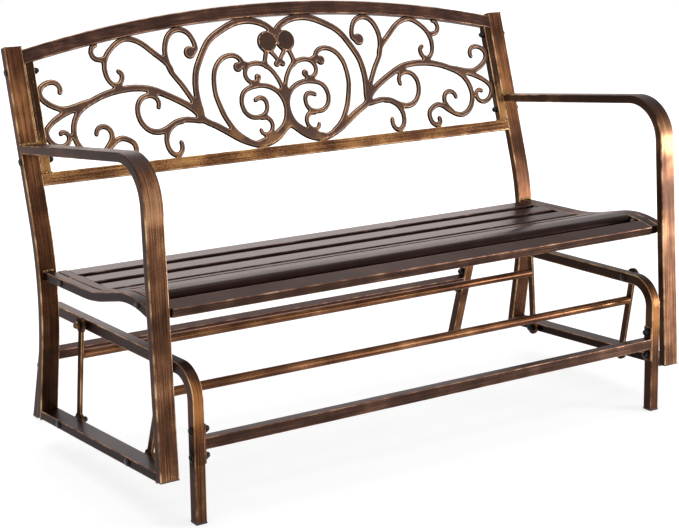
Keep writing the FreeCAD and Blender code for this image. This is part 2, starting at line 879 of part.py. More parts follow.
# Cast scroll panel
# Its members on the right half: width at the start and at the tip, as parts of the common
# member width, and the centreline as (across, up) on the backrest plane
SCROLLS = {
    "crown": (
        1.15,
        1.1,
        [
            (0, 274), (18, 291), (40.5, 302), (66, 305.5), (108, 299), (135, 287), (167, 267.5),
            (185, 246), (199, 224), (211, 200), (216, 175), (217.5, 150), (214.5, 125), (214, 104),
        ],
    ),
    "lower sweep": (
        1.15,
        1.15,
        [
            (0, 70), (16, 60), (35, 45), (56, 36), (81, 32.5), (106, 39), (131, 50), (156, 66),
            (181, 82), (206, 96), (221, 112),
        ],
    ),
    "inner heart": (
        0.8,
        0.95,
        [
            (106, 205), (95, 212), (98, 222), (106, 229), (120, 232), (137, 229), (154, 217),
            (166, 199), (171, 175), (172, 150), (166, 125), (158, 100), (147, 80), (136, 64),
            (122, 52), (107, 41),
        ],
    ),
    "ring": (
        0.95,
        0.75,
        [
            (88, 36), (51, 47), (24.5, 62), (8.5, 80), (3, 105), (6.5, 128), (16, 143),
            (35, 156), (56, 161), (81, 159), (102, 150), (110, 136), (111.5, 120), (106, 105),
            (93, 94.5), (76, 92.5), (56, 100), (50, 120), (54, 131), (64, 134), (77, 130),
        ],
    ),
    "ring curl": (
        0.8,
        0.65,
        [
            (68, 90), (47.5, 82), (44.5, 70), (51, 58), (61, 53), (70, 55), (75, 64),
        ],
    ),
    "upper curl": (
        0.8,
        0.75,
        [
            (3, 148), (8.5, 167), (16, 182), (24.5, 194), (35, 203), (51, 209), (64, 211),
            (82, 205), (91, 192), (90, 180), (82, 171), (66, 170), (61, 179),
        ],
    ),
    "bridge": (
        0.8,
        0.8,
        [
            (79, 207), (87, 211), (96, 213),
        ],
    ),
    "fleur outer": (
        0.8,
        0.8,
        [
            (26.5, 245), (29.5, 233), (33, 224), (36, 214), (35, 203),
        ],
    ),
    "fleur inner": (
        0.8,
        0.7,
        [
            (22.5, 240), (15, 230), (8.5, 222), (4, 214), (7.5, 206),
        ],
    ),
    "ball hook": (
        0.85,
        0.95,
        [
            (217, 246), (202, 252), (202.5, 262), (208, 278), (219, 291), (239, 296), (258, 289),
            (269, 274), (275, 258), (276.5, 244), (275, 232), (271, 212), (262, 196), (250, 179),
            (240, 162), (231, 146), (223, 128), (216, 112),
        ],
    ),
    "high branch": (
        1.0,
        0.75,
        [
            (268, 206), (276, 226), (291, 240), (306, 253), (321, 267), (336, 277), (356, 283.5), (371, 283),
            (382, 278), (396, 268), (408, 257), (417, 243), (420.5, 228), (420, 212), (415, 199),
            (406, 190), (398, 188), (390, 193), (385, 203), (385, 211), (391, 217),
        ],
    ),
    "high hook": (
        0.85,
        0.8,
        [
            (420, 245), (434, 246), (443, 252), (445, 262), (442, 270), (433, 276),
        ],
    ),
    "middle branch": (
        1.15,
        0.85,
        [
            (221, 112), (234, 126), (256, 141), (281, 155), (306, 167), (326, 175), (351, 179),
            (381, 179), (406, 176), (431, 171), (456, 162), (481, 150), (496, 138), (506, 122),
            (511, 105), (511, 88), (505, 71), (494, 58), (478, 50), (461, 50), (446, 57),
            (431, 67), (418, 76), (406, 78), (392, 73), (381, 64), (379, 52), (384, 38),
            (395, 31), (404, 35), (405, 46),
        ],
    ),
    "middle curl": (
        0.95,
        0.75,
        [
            (446, 58), (438, 67), (430, 80), (429, 92), (435, 102), (445, 106), (456, 103), (463, 92),
        ],
    ),
    "outer branch": (
        1.0,
        0.8,
        [
            (461, 160), (483, 156), (505, 151), (526, 149), (546, 156), (562, 166), (571.5, 180),
            (571.5, 191), (561, 202), (546, 206), (533, 203), (527, 194), (528, 184),
        ],
    ),
    "outer curl": (
        1.0,
        0.75,
        [
            (493, 149), (509, 146), (528, 139), (546, 130), (562, 119), (571.5, 106), (568, 90), (558, 79),
            (546, 74), (534, 76), (525, 84), (525, 95), (531, 102), (541, 100),
        ],
    ),
    "low branch": (
        1.0,
        0.8,
        [
            (210, 98), (231, 100), (256, 103), (276, 99), (291, 90), (302, 77), (306, 62),
            (303.5, 45), (294, 33), (282, 31.5), (272, 46), (273, 56),
        ],
    ),
    "low curl": (
        1.05,
        0.75,
        [
            (264, 101), (283, 97), (306, 86), (324, 83), (340, 88), (353, 99), (360, 114), (362, 130),
            (357, 146), (347, 157), (332, 161), (318, 158), (311, 148), (312, 135),
        ],
    ),
}
# Discs and ball ends as (across, up, radius)
SCROLL_DISCS = [
    (23.5, 255.0, 23.6),
    (7.0, 205.0, 6.5),
    (35.5, 203.0, 6.5),
    (107.0, 205.0, 10.0),
    (61.0, 179.0, 7.5),
    (218.0, 245.0, 13.0),
    (3.0, 148.0, 8.0),
]


def scroll_ribbon(points, start_width, tip_width):
    """The flat outline of one scroll member in arcs, tapering from start to rounded tip."""
    centreline = Part.BSplineCurve()
    centreline.interpolate([vec(x, 0, up) for x, up in points])
    first, last = centreline.FirstParameter, centreline.LastParameter
    count = 2 * len(points) - 1
    one_side = []
    other_side = []
    for index in range(count):
        share = index / (count - 1)
        parameter = first + (last - first) * share
        half_width = (start_width + (tip_width - start_width) * share) / 2
        spot = centreline.value(parameter)
        along = centreline.tangent(parameter)[0]
        aside = vec(-along.z, 0, along.x) * half_width
        one_side.append(spot + aside)
        other_side.append(spot - aside)
    edges = []
    for side in (one_side, other_side):
        rim = Part.BSplineCurve()
        rim.interpolate(side)
        edges.extend(arc.toShape() for arc in rim.toBiArcs(s.scroll_arc_tolerance.value))
    begin = centreline.value(first) - centreline.tangent(first)[0] * (start_width / 2)
    finish = centreline.value(last) + centreline.tangent(last)[0] * (tip_width / 2)
    edges.append(Part.Arc(one_side[0], begin, other_side[0]).toShape())
    edges.append(Part.Arc(one_side[-1], finish, other_side[-1]).toShape())
    return Part.Face(Part.Wire(Part.__sortEdges__(edges)))


def scroll_outline():
    """The whole panel's flat outline, both halves in one."""
    faces = []
    width = s.scroll_member_width.value
    for way in (1, -1):
        for start_share, tip_share, points in SCROLLS.values():
            placed = [(way * x, up) for x, up in points]
            faces.append(scroll_ribbon(placed, width * start_share, width * tip_share))
        for x, up, radius in SCROLL_DISCS:
            disc = Part.Circle(vec(way * x, 0, up), vec(0, 1, 0), radius).toShape()
            faces.append(Part.Face(Part.Wire([disc])))
    return faces[0].multiFuse(faces[1:]).removeSplitter()


scroll_face = doc.addObject("Part::Feature", "ScrollOutline")
scroll_face.Shape = scroll_outline()
scroll_bar = doc.addObject("Part::Extrusion", "ScrollCasting")
scroll_bar.Base = scroll_face
scroll_bar.DirMode = "Custom"
scroll_bar.Dir = vec(0, 1, 0)
scroll_bar.Solid = True
scroll_bar.LengthFwd = s.scroll_thickness.value
scroll_bar.setExpression("LengthFwd", s.scroll_thickness.text)
panel_y, panel_z = on_back(ZERO, s.scroll_setback)
place(scroll_bar, y=panel_y, z=panel_z, tilt=-post_lean)

# The opening between the side tubes, above the bottom rail, that the casting fills
opening = doc.addObject("Part::Box", "BackOpening")
opening_width = 2 * (frame_inner_x - s.back_side_width)
for edge, size in (
    ("Length", opening_width),
    ("Width", s.back_depth),
    ("Height", s.back_arch_middle - s.back_rail_height),
):
    setattr(opening, edge, size.value)
    opening.setExpression(edge, size.text)
opening_y, opening_z = on_back(s.back_rail_height, ZERO)
place(opening, x=-opening_width / 2, y=opening_y, z=opening_z, tilt=-post_lean)
fitted_scroll = doc.addObject("Part::Common", "FittedScroll")
fitted_scroll.Base = scroll_bar
fitted_scroll.Tool = opening
keep("backrest_scroll_panel", cut_by("backrest_scroll_panel", fitted_scroll, [arch_outline]))


# Fasteners
def dome_bolt(name, grip):
    """A dome-headed bolt along X: its head starts at x = 0 and its shank runs to -X."""
    body = new_body(name)
    profile = new_sketch(body, name + "Profile", "XY_Plane")
    shank = s.bolt_diameter / 2
    tail = -(grip + s.nut_engagement)
    rim = s.bolt_head_height / 4
    crown = s.bolt_head_radius * 0.45
    add_polygon(
        profile,
        [
            (tail, ZERO),
            (s.bolt_head_height, ZERO),
            (s.bolt_head_height, crown),
            (rim, s.bolt_head_radius),
            (ZERO, s.bolt_head_radius),
            (ZERO, shank),
            (tail, shank),
        ],
    )
    revolve(body, profile, "X_Axis")
    return body


def dome_nut(name):
    """A dome nut along X: its flat face at x = 0, its dome towards -X."""
    body = new_body(name)
    hexagon = new_sketch(body, name + "Hexagon", "YZ_Plane")
    corner = s.nut_across_flats / 2 / cosine(as_size(30))
    points = []
    for index in range(6):
        angle = as_size(60 * index + 30)
        points.append((corner * cosine(angle), corner * sine(angle)))
    add_polygon(hexagon, points)
    pad(body, hexagon, s.nut_height, reversed_way=True)
    dome = new_sketch(body, name + "Dome", "XY_Plane")
    radius = s.nut_across_flats / 2 - 0.4
    add_polygon(
        dome,
        [
            (-s.nut_height, ZERO),
            (-s.nut_height, radius),
            (-(s.nut_height + s.nut_dome * 0.6), radius * 0.8),
            (-(s.nut_height + s.nut_dome), radius * 0.3),
            (-(s.nut_height + s.nut_dome), ZERO),
        ],
    )
    revolve(body, dome, "X_Axis")
    bore = new_sketch(body, name + "Bore", "YZ_Plane")
    add_circle(bore, (ZERO, ZERO), s.bolt_diameter / 2 + s.thread_fit)
    pocket(body, bore, s.nut_engagement + 0.5)
    return body


def washer(name, thickness, outer):
    """A plain washer along X, its near face at x = 0, its body towards -X."""
    body = new_body(name)
    face = new_sketch(body, name + "Face", "YZ_Plane")
    add_circle(face, (ZERO, ZERO), outer)
    add_circle(face, (ZERO, ZERO), s.bolt_diameter / 2 + s.bolt_fit)
    pad(body, face, thickness, reversed_way=True)
    return body


nut = dome_nut("DomeNut")

back_bolt = dome_bolt("BackBolt", s.frame_width + s.back_side_width)
copies("backrest_bolts", back_bolt, both_sides(frame_outer_x, back_bolts))
copies("backrest_nuts", nut, both_sides(frame_inner_x - s.back_side_width, back_bolts))

seat_bolt = dome_bolt("SeatBolt", 2 * s.seat_rail_width + s.seat_gap)
copies("seat_bolts", seat_bolt, both_sides(s.side_rail_outer_x, seat_bolts))
copies("seat_nuts", nut, both_sides(end_rail_inner_x, seat_bolts))
spacer = washer("SeatSpacer", s.seat_gap, s.washer_radius)
copies(
    "seat_spacers", spacer, both_sides(s.side_rail_outer_x - s.seat_rail_width, seat_bolts)
)


# Base frames
front_leg_top = (s.base_front_corner_y, s.base_front_corner_z)
rear_leg_top = (s.base_rear_corner_y, s.base_rear_corner_z)
front_foot = (s.front_foot_y, ZERO)
rear_foot = (s.rear_foot_y, ZERO)


def on_leg(foot, top, z):
    """The point of a leg's centreline at a given height."""
    y = foot[0] + (top[0] - foot[0]) * z / top[1]
    return y, z


arch_front_end = on_leg(front_foot, front_leg_top, s.arch_bottom_z)
arch_rear_end = on_leg(rear_foot, rear_leg_top, s.arch_bottom_z)
front_tilt = -slope_angle(front_leg_top[0] - front_foot[0], front_leg_top[1])
rear_tilt = -slope_angle(rear_leg_top[0] - rear_foot[0], rear_leg_top[1])
crossbar_front = on_leg(front_foot, front_leg_top, s.crossbar_front_z)
crossbar_rear = on_leg(rear_foot, rear_leg_top, s.crossbar_rear_z)


def crossbar_bolt_spots(centre, tilt):
    """Where the bolts above and below a crossbar pass through the leg."""
    spots = []
    for way in (-1, 1):
        along = way * s.crossbar_bolt_offset
        spots.append((centre[0] - along * sine(tilt), centre[1] + along * cosine(tilt)))
    return spots


front_bolt_spots = crossbar_bolt_spots(crossbar_front, front_tilt)
rear_bolt_spots = crossbar_bolt_spots(crossbar_rear, rear_tilt)
top_pivots = [
    (s.pivot_front_top_y, s.pivot_front_top_z),
    (s.pivot_rear_top_y, s.pivot_rear_top_z),
]

base_arch = bent_tube(
    "BaseArch",
    "YZ_Plane",
    [arch_front_end, front_leg_top, rear_leg_top, arch_rear_end],
    [None, s.base_bend_radius, s.base_bend_radius, None],
    s.base_width,
    s.base_width,
    s.tube_wall,
)
drill_across(
    base_arch, "BaseArchHoles", front_bolt_spots + rear_bolt_spots + top_pivots, bolt_hole
)
place(base_arch, x=-s.base_centre_x)
keep_pair("base_arch", base_arch)


def level_cut(body, name, tilt, height):
    """Take away whatever of an upright tilted piece lies below a level height."""
    sketch = new_sketch(body, name, "YZ_Plane")
    reach = as_size(40)
    points = []
    for way in (-1, 1):
        across = way * reach
        points.append((across, (height - across * sine(tilt)) / cosine(tilt)))
    floor = [(reach, as_size(-60)), (-reach, as_size(-60))]
    add_polygon(sketch, points + floor)
    pocket(body, sketch, symmetric=True)


def leg_length(foot, top):
    """How far up a leg, from the floor along its centreline, its tube runs."""
    return length_of(top[0] - foot[0], top[1]) * s.arch_bottom_z / top[1]


def base_leg(name, foot, top, tilt, crossbar_z):
    """A lower leg: a tube up to the arch's end and a sleeve that goes on inside the arch."""
    body = new_body(name)
    length = leg_length(foot, top)
    tube = new_sketch(body, name + "Tube", "XY_Plane", offset=as_size(-20))
    add_ring(tube, s.base_width, s.base_width, s.tube_wall)
    pad(body, tube, length + 20)
    inner = s.base_width - 2 * s.tube_wall
    shoulder = new_sketch(body, name + "Shoulder", "XY_Plane", offset=length - s.sleeve_shoulder)
    add_ring(shoulder, inner, inner, s.tube_wall)
    pad(body, shoulder, s.sleeve_shoulder)
    sleeve = new_sketch(body, name + "Sleeve", "XY_Plane", offset=length)
    outer = inner - 2 * s.sleeve_fit
    add_rectangle(sleeve, outer, outer)
    add_rectangle(sleeve, inner - 2 * s.tube_wall, inner - 2 * s.tube_wall)
    pad(body, sleeve, s.sleeve_above)
    centre = length_of(top[0] - foot[0], top[1]) * crossbar_z / top[1]
    drill_across(
        body,
        name + "Holes",
        [(ZERO, centre - s.crossbar_bolt_offset), (ZERO, centre + s.crossbar_bolt_offset)],
        bolt_hole,
    )
    level_cut(body, name + "Level", tilt, s.foot_height)
    place(body, x=-s.base_centre_x, y=foot[0], tilt=tilt)
    return body


def foot_plug(name, foot, tilt):
    """A foot plug: a sole level with the floor and a stem inside the leg."""
    body = new_body(name)
    sole = new_sketch(body, name + "Sole", "XY_Plane", offset=as_size(-20))
    add_rectangle(sole, s.base_width, s.base_width)
    pad(body, sole, as_size(60))
    above = new_sketch(body, name + "Above", "YZ_Plane")
    reach = as_size(40)
    points = []
    for way in (-1, 1):
        across = way * reach
        points.append((across, (s.foot_height - across * sine(tilt)) / cosine(tilt)))
    top = [(reach, as_size(80)), (-reach, as_size(80))]
    add_polygon(above, points + top)
    pocket(body, above, symmetric=True)
    stem = new_sketch(body, name + "Stem", "XY_Plane")
    inner = s.base_width - 2 * s.tube_wall - 2 * s.plug_fit
    add_rectangle(stem, inner, inner)
    pad(body, stem, s.foot_height + s.foot_stem)
    level_cut(body, name + "Level", tilt, ZERO)
    place(body, x=-s.base_centre_x, y=foot[0], tilt=tilt)
    return body


front_leg = base_leg("FrontLeg", front_foot, front_leg_top, front_tilt, s.crossbar_front_z)
keep_pair("base_leg_front", front_leg)
rear_leg = base_leg("RearLeg", rear_foot, rear_leg_top, rear_tilt, s.crossbar_rear_z)
keep_pair("base_leg_rear", rear_leg)
keep_pair("foot_plug_front", foot_plug("FrontFoot", front_foot, front_tilt))
keep_pair("foot_plug_rear", foot_plug("RearFoot", rear_foot, rear_tilt))


def crossbar(name, centre, tilt):
    """A crossbar with a flat bolting plate welded on each end."""
    body = new_body(name)
    plate_inner = base_inner_x - s.crossbar_plate
    section = new_sketch(body, name + "Section", "YZ_Plane")
    add_ring(section, s.base_width, s.base_width, s.tube_wall)
    pad(body, section, 2 * plate_inner, symmetric=True)
    for side, way in (("Left", -1), ("Right", 1)):
        plate = new_sketch(body, name + "Plate" + side, "YZ_Plane", offset=way * plate_inner)
        add_rectangle(plate, s.base_width, s.crossbar_plate_height)
        for hole in (-1, 1):
            add_circle(plate, (ZERO, hole * s.crossbar_bolt_offset), bolt_hole)
        pad(body, plate, s.crossbar_plate, reversed_way=(way < 0))
    place(body, y=centre[0], z=centre[1], tilt=tilt)
    return body


keep("crossbar_front", crossbar("CrossbarFront", crossbar_front, front_tilt))
keep("crossbar_rear", crossbar("CrossbarRear", crossbar_rear, rear_tilt))

crossbar_bolt = dome_bolt("CrossbarBolt", s.base_width + s.crossbar_plate)
leg_bolt_spots = front_bolt_spots + rear_bolt_spots
copies("crossbar_bolts", crossbar_bolt, both_sides(base_outer_x, leg_bolt_spots))
copies(
    "crossbar_nuts", nut, both_sides(base_inner_x - s.crossbar_plate, leg_bolt_spots)
)


# Glide links
link_hole = s.bolt_diameter / 2 + s.bushing_wall
link_top_x = base_outer_x + s.bushing_flange
link_low_x = frame_inner_x - s.bushing_flange - s.link_thickness


def link_lean(top, low):
    """How far a link leans from upright, towards the back at its lower end."""
    return slope_angle(low[0] - top[0], top[1] - low[1])


def glide_link(name, top, low):
    """A flat bar between two round eyes: the upper one by the base rail, the lower by the skid."""
    body = new_body(name)
    length = length_of(low[0] - top[0], top[1] - low[1])
    upper_bend = -s.link_eye_radius
    lower_bend = s.link_eye_radius - length
    strap = new_sketch(body, name + "Strap", "XZ_Plane")
    add_polygon(
        strap,
        [
            (-link_top_x, ZERO),
            (-link_top_x, upper_bend),
            (-link_low_x, lower_bend),
            (-link_low_x, -length),
            (-(link_low_x + s.link_thickness), -length),
            (-(link_low_x + s.link_thickness), lower_bend),
            (-(link_top_x + s.link_thickness), upper_bend),
            (-(link_top_x + s.link_thickness), ZERO),
        ],
    )
    pad(body, strap, s.link_width, symmetric=True)
    for end, inner_x, up in (("UpperEye", link_top_x, ZERO), ("LowerEye", link_low_x, -length)):
        eye = new_sketch(body, name + end, "YZ_Plane", offset=-inner_x)
        add_circle(eye, (ZERO, up), s.link_eye_radius)
        pad(body, eye, s.link_thickness, reversed_way=True)
    drill_across(body, name + "Holes", [(ZERO, ZERO), (ZERO, -length)], link_hole)
    place(body, y=top[0], z=top[1], tilt=link_lean(top, low))
    return body


def swing_bar(name, top, low):
    """The round bar welded between the left and right links, its ends cut to their slope."""
    body = new_body(name)
    length = length_of(low[0] - top[0], top[1] - low[1])
    face = new_sketch(body, name + "Face", "YZ_Plane")
    add_circle(face, (ZERO, -s.link_bar_drop), s.swing_bar_diameter / 2)
    add_circle(face, (ZERO, -s.link_bar_drop), s.swing_bar_diameter / 2 - s.tube_wall)
    pad(body, face, 2 * link_low_x, symmetric=True)
    ends = new_sketch(body, name + "Ends", "XZ_Plane")
    upper_bend = -s.link_eye_radius
    lower_bend = s.link_eye_radius - length
    beyond = s.frame_width
    for way in (-1, 1):
        add_polygon(
            ends,
            [
                (link_top_x * way, upper_bend),
                (link_low_x * way, lower_bend),
                ((link_low_x + beyond) * way, lower_bend),
                ((link_top_x + beyond) * way, upper_bend),
            ],
        )
    pocket(body, ends, symmetric=True)
    place(body, y=top[0], z=top[1], tilt=link_lean(top, low))
    return body


def bushing(name, bore_fit):
    """A flanged bushing along X: its flange from x = 0 to -X, its sleeve beyond."""
    body = new_body(name)
    flange = new_sketch(body, name + "Flange", "YZ_Plane")
    bore = s.bolt_diameter / 2 + bore_fit
    add_circle(flange, (ZERO, ZERO), s.bushing_flange_radius)
    add_circle(flange, (ZERO, ZERO), bore)
    pad(body, flange, s.bushing_flange - s.running_gap, reversed_way=True)
    sleeve = new_sketch(body, name + "Sleeve", "YZ_Plane")
    add_circle(sleeve, (ZERO, ZERO), link_hole)
    add_circle(sleeve, (ZERO, ZERO), bore)
    pad(
        body,
        sleeve,
        s.bushing_flange - s.running_gap + s.link_thickness,
        reversed_way=True,
    )
    return body


snug_bushing = bushing("SnugBushing", s.pivot_fit)
free_bushing = bushing("FreeBushing", s.free_pivot_fit)


def swing(stem, top, low, low_bushing):
    """One pair of links with the bar between them and their bushings."""
    keep_pair(f"{stem}_link", glide_link(stem.title() + "Link", top, low))
    keep(f"{stem}_swing_bar", swing_bar(stem.title() + "SwingBar", top, low))
    links = []
    near = base_outer_x + s.running_gap
    far = frame_inner_x - s.running_gap
    spots = [
        (snug_bushing, -near, top, True),
        (snug_bushing, near, top, False),
        (low_bushing, -far, low, False),
        (low_bushing, far, low, True),
    ]
    for index, (master, x, point, faces_right) in enumerate(spots, start=1):
        link = doc.addObject("App::Link", f"{stem}_bushing_{index}")
        link.LinkedObject = master
        turn = FreeCAD.Rotation(vec(0, 0, 1), 0 if faces_right else 180)
        link.Placement = FreeCAD.Placement(vec(x.value, point[0].value, point[1].value), turn)
        for axis, size in zip("xyz", (x, point[0], point[1])):
            link.setExpression(f"Placement.Base.{axis}", size.text)
        links.append(link)
    name = f"{stem}_link_bushings"
    keep(name, group(name, links))


swing("front", top_pivots[0], low_pivots[0], snug_bushing)
swing("rear", top_pivots[1], low_pivots[1], free_bushing)

pivot_washer = washer("PivotWasher", s.washer_thickness, s.washer_radius)
link_stack = s.bushing_flange + s.link_thickness + s.running_gap + s.washer_thickness


def inward_copies(name, master, x, spots):
    """Copies that face the middle of the bench, on both sides."""
    placed = []
    for y, z in spots:
        placed.append((-x, y, z, True))
        placed.append((x, y, z, False))
    return copies(name, master, placed)


top_bolt = dome_bolt("TopPivotBolt", s.base_width + link_stack)
inward_copies("upper_pivot_bolts", top_bolt, base_inner_x, top_pivots)
link_outer_x = link_top_x + s.link_thickness + s.running_gap
inward_copies("upper_pivot_washers", pivot_washer, link_outer_x, top_pivots)
inward_copies("upper_pivot_nuts", nut, link_outer_x + s.washer_thickness, top_pivots)

low_bolt = dome_bolt("LowPivotBolt", s.frame_width + link_stack)
copies("lower_pivot_bolts", low_bolt, both_sides(frame_outer_x, low_pivots))
copies("lower_pivot_washers", pivot_washer, both_sides(link_low_x - s.running_gap, low_pivots))
copies(
    "lower_pivot_nuts",
    nut,
    both_sides(link_low_x - s.running_gap - s.washer_thickness, low_pivots),
)

doc.recompute()


# Export
def check_document():
    """Stop if any object failed to build."""
    for item in doc.Objects:
        if "Invalid" in item.State or "Error" in item.State:
            raise RuntimeError(f"{item.Name} ({item.Label}) did not build")
    for name, item in nodes:
        shape = item.Shape
        if shape.isNull() or not shape.isValid() or not shape.Solids:
            raise RuntimeError(f"{name} has no valid solid")


check_document()
os.makedirs("parts", exist_ok=True)
for name, item in nodes:
    item.Shape.exportStep(f"parts/{name}.step")
print(f"{len(nodes)} pieces written")
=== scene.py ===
"""Dresses the porch glider bench: rounded steel tubes, a cast scroll back, domed fasteners,
weld beads and brushed antique bronze finishes, set in a pale studio."""

import json
import logging
import math
from dataclasses import dataclass
from enum import Enum
from functools import cached_property

import bmesh
import bpy
from mathutils import Matrix, Vector, geometry, kdtree, noise


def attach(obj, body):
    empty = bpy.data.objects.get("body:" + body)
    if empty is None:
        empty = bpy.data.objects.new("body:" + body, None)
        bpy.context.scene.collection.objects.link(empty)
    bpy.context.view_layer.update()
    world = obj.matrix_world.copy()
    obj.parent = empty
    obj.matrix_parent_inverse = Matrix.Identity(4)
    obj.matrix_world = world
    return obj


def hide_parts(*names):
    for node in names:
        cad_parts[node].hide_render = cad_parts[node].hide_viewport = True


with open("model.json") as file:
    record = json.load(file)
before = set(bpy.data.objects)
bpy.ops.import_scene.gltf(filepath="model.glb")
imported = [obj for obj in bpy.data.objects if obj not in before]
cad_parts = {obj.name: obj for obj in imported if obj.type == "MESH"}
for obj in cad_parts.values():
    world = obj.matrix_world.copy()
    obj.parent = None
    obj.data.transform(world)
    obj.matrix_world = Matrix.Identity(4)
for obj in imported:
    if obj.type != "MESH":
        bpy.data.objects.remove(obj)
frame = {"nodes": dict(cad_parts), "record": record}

LOG = logging.getLogger("glider_bench")
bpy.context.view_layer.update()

Material = bpy.types.Material
Mesh = bmesh.types.BMesh
Node = bpy.types.Node
Object = bpy.types.Object
Socket = bpy.types.NodeSocket
Tree = bpy.types.NodeTree
Inputs = dict[str | int, object]
Point = tuple[float, float, float]
Pair = tuple[float, float]
Layer = tuple[Socket, str]

RIGHT: Point = (1.0, 0.0, 0.0)
LEFT: Point = (-1.0, 0.0, 0.0)
REAR: Point = (0.0, 1.0, 0.0)
FRONT: Point = (0.0, -1.0, 0.0)

WHITE = (1.0, 1.0, 1.0, 1.0)
# Deeper than brush marks and cast grain usually are, so that they show
BUMP_DEPTH = 0.0004
SMOOTH = "SMOOTHSTEP"
# The inputs of a Map Range node, in order
RANGE = ("Value", "From Min", "From Max", "To Min", "To Max")
# A CAD mesh is loose triangles: corners this close are one, and faces this flat are one
MERGE_GAP = 1e-5
FLAT_ANGLE = math.radians(0.4)
# Edges sharper than this are shaded as creases
CREASE_ANGLE = math.radians(38)


class Grain(Enum):
    """How long the brush marks are along X, Y and Z, in metres."""

    ALONG_X = (0.160, 0.0016, 0.0016)
    BENT_SIDEWAYS = (0.0016, 0.160, 0.160)
    DABBED = (0.030, 0.030, 0.030)


def linear(hex_colour: str) -> tuple[float, float, float, float]:
    """Turn an sRGB hex colour into linear RGBA.

    Args:
        hex_colour: six digits, such as "8a5f3c".

    Returns:
        The colour as four linear floats.
    """
    parts = [int(hex_colour[i : i + 2], 16) / 255 for i in (0, 2, 4)]
    made = [p / 12.92 if p <= 0.04045 else ((p + 0.055) / 1.055) ** 2.4 for p in parts]
    return made[0], made[1], made[2], 1.0


def feed(tree: Tree, node: Node, inputs: Inputs) -> None:
    """Give a node its inputs.

    Args:
        tree: the node tree that holds it.
        node: the node.
        inputs: socket name or number to a constant, or to the socket that feeds it.
    """
    for key, value in inputs.items():
        if isinstance(value, Socket):
            tree.links.new(value, node.inputs[key])
        else:
            node.inputs[key].default_value = value


def add_node(tree: Tree, kind: str, inputs: Inputs | None = None, **settings: object) -> Node:
    """Add one node, with its settings, its constant inputs and its links.

    Args:
        tree: the node tree that gets the node.
        kind: the node's type without "ShaderNode", such as "TexNoise".
        inputs: its inputs, as feed takes them.
        settings: attributes of the node.

    Returns:
        The new node.
    """
    made = tree.nodes.new(f"ShaderNode{kind}")
    for key, value in settings.items():
        setattr(made, key, value)
    feed(tree, made, inputs or {})
    return made


def start_material(name: str) -> tuple[Material, Tree, Node]:
    """Start a material.

    Args:
        name: the material's name.

    Returns:
        The material, its node tree and its shader.
    """
    made = bpy.data.materials.new(name)
    made.use_nodes = True
    tree = made.node_tree
    return made, tree, tree.nodes["Principled BSDF"]


def coat(
    tree: Tree, shader: Node, ground: str, layers: list[Layer], values: Inputs, bump: Inputs
) -> None:
    """Lay a finish's colours over one another and give the shader the rest of it.

    Args:
        tree: the material's node tree.
        shader: its shader.
        ground: the lowest colour.
        layers: the share and the colour of each layer over it.
        values: the shader's other inputs.
        bump: the inputs of its bump, or none where the finish is smooth.
    """
    seen: object = linear(ground)
    for share, colour in layers:
        inputs = {0: share, 6: seen, 7: linear(colour)}
        seen = add_node(tree, "Mix", inputs, data_type="RGBA").outputs[2]
    feed(tree, shader, {"Base Color": seen} | values)
    if bump:
        feed(tree, shader, {"Normal": add_node(tree, "Bump", bump).outputs[0]})


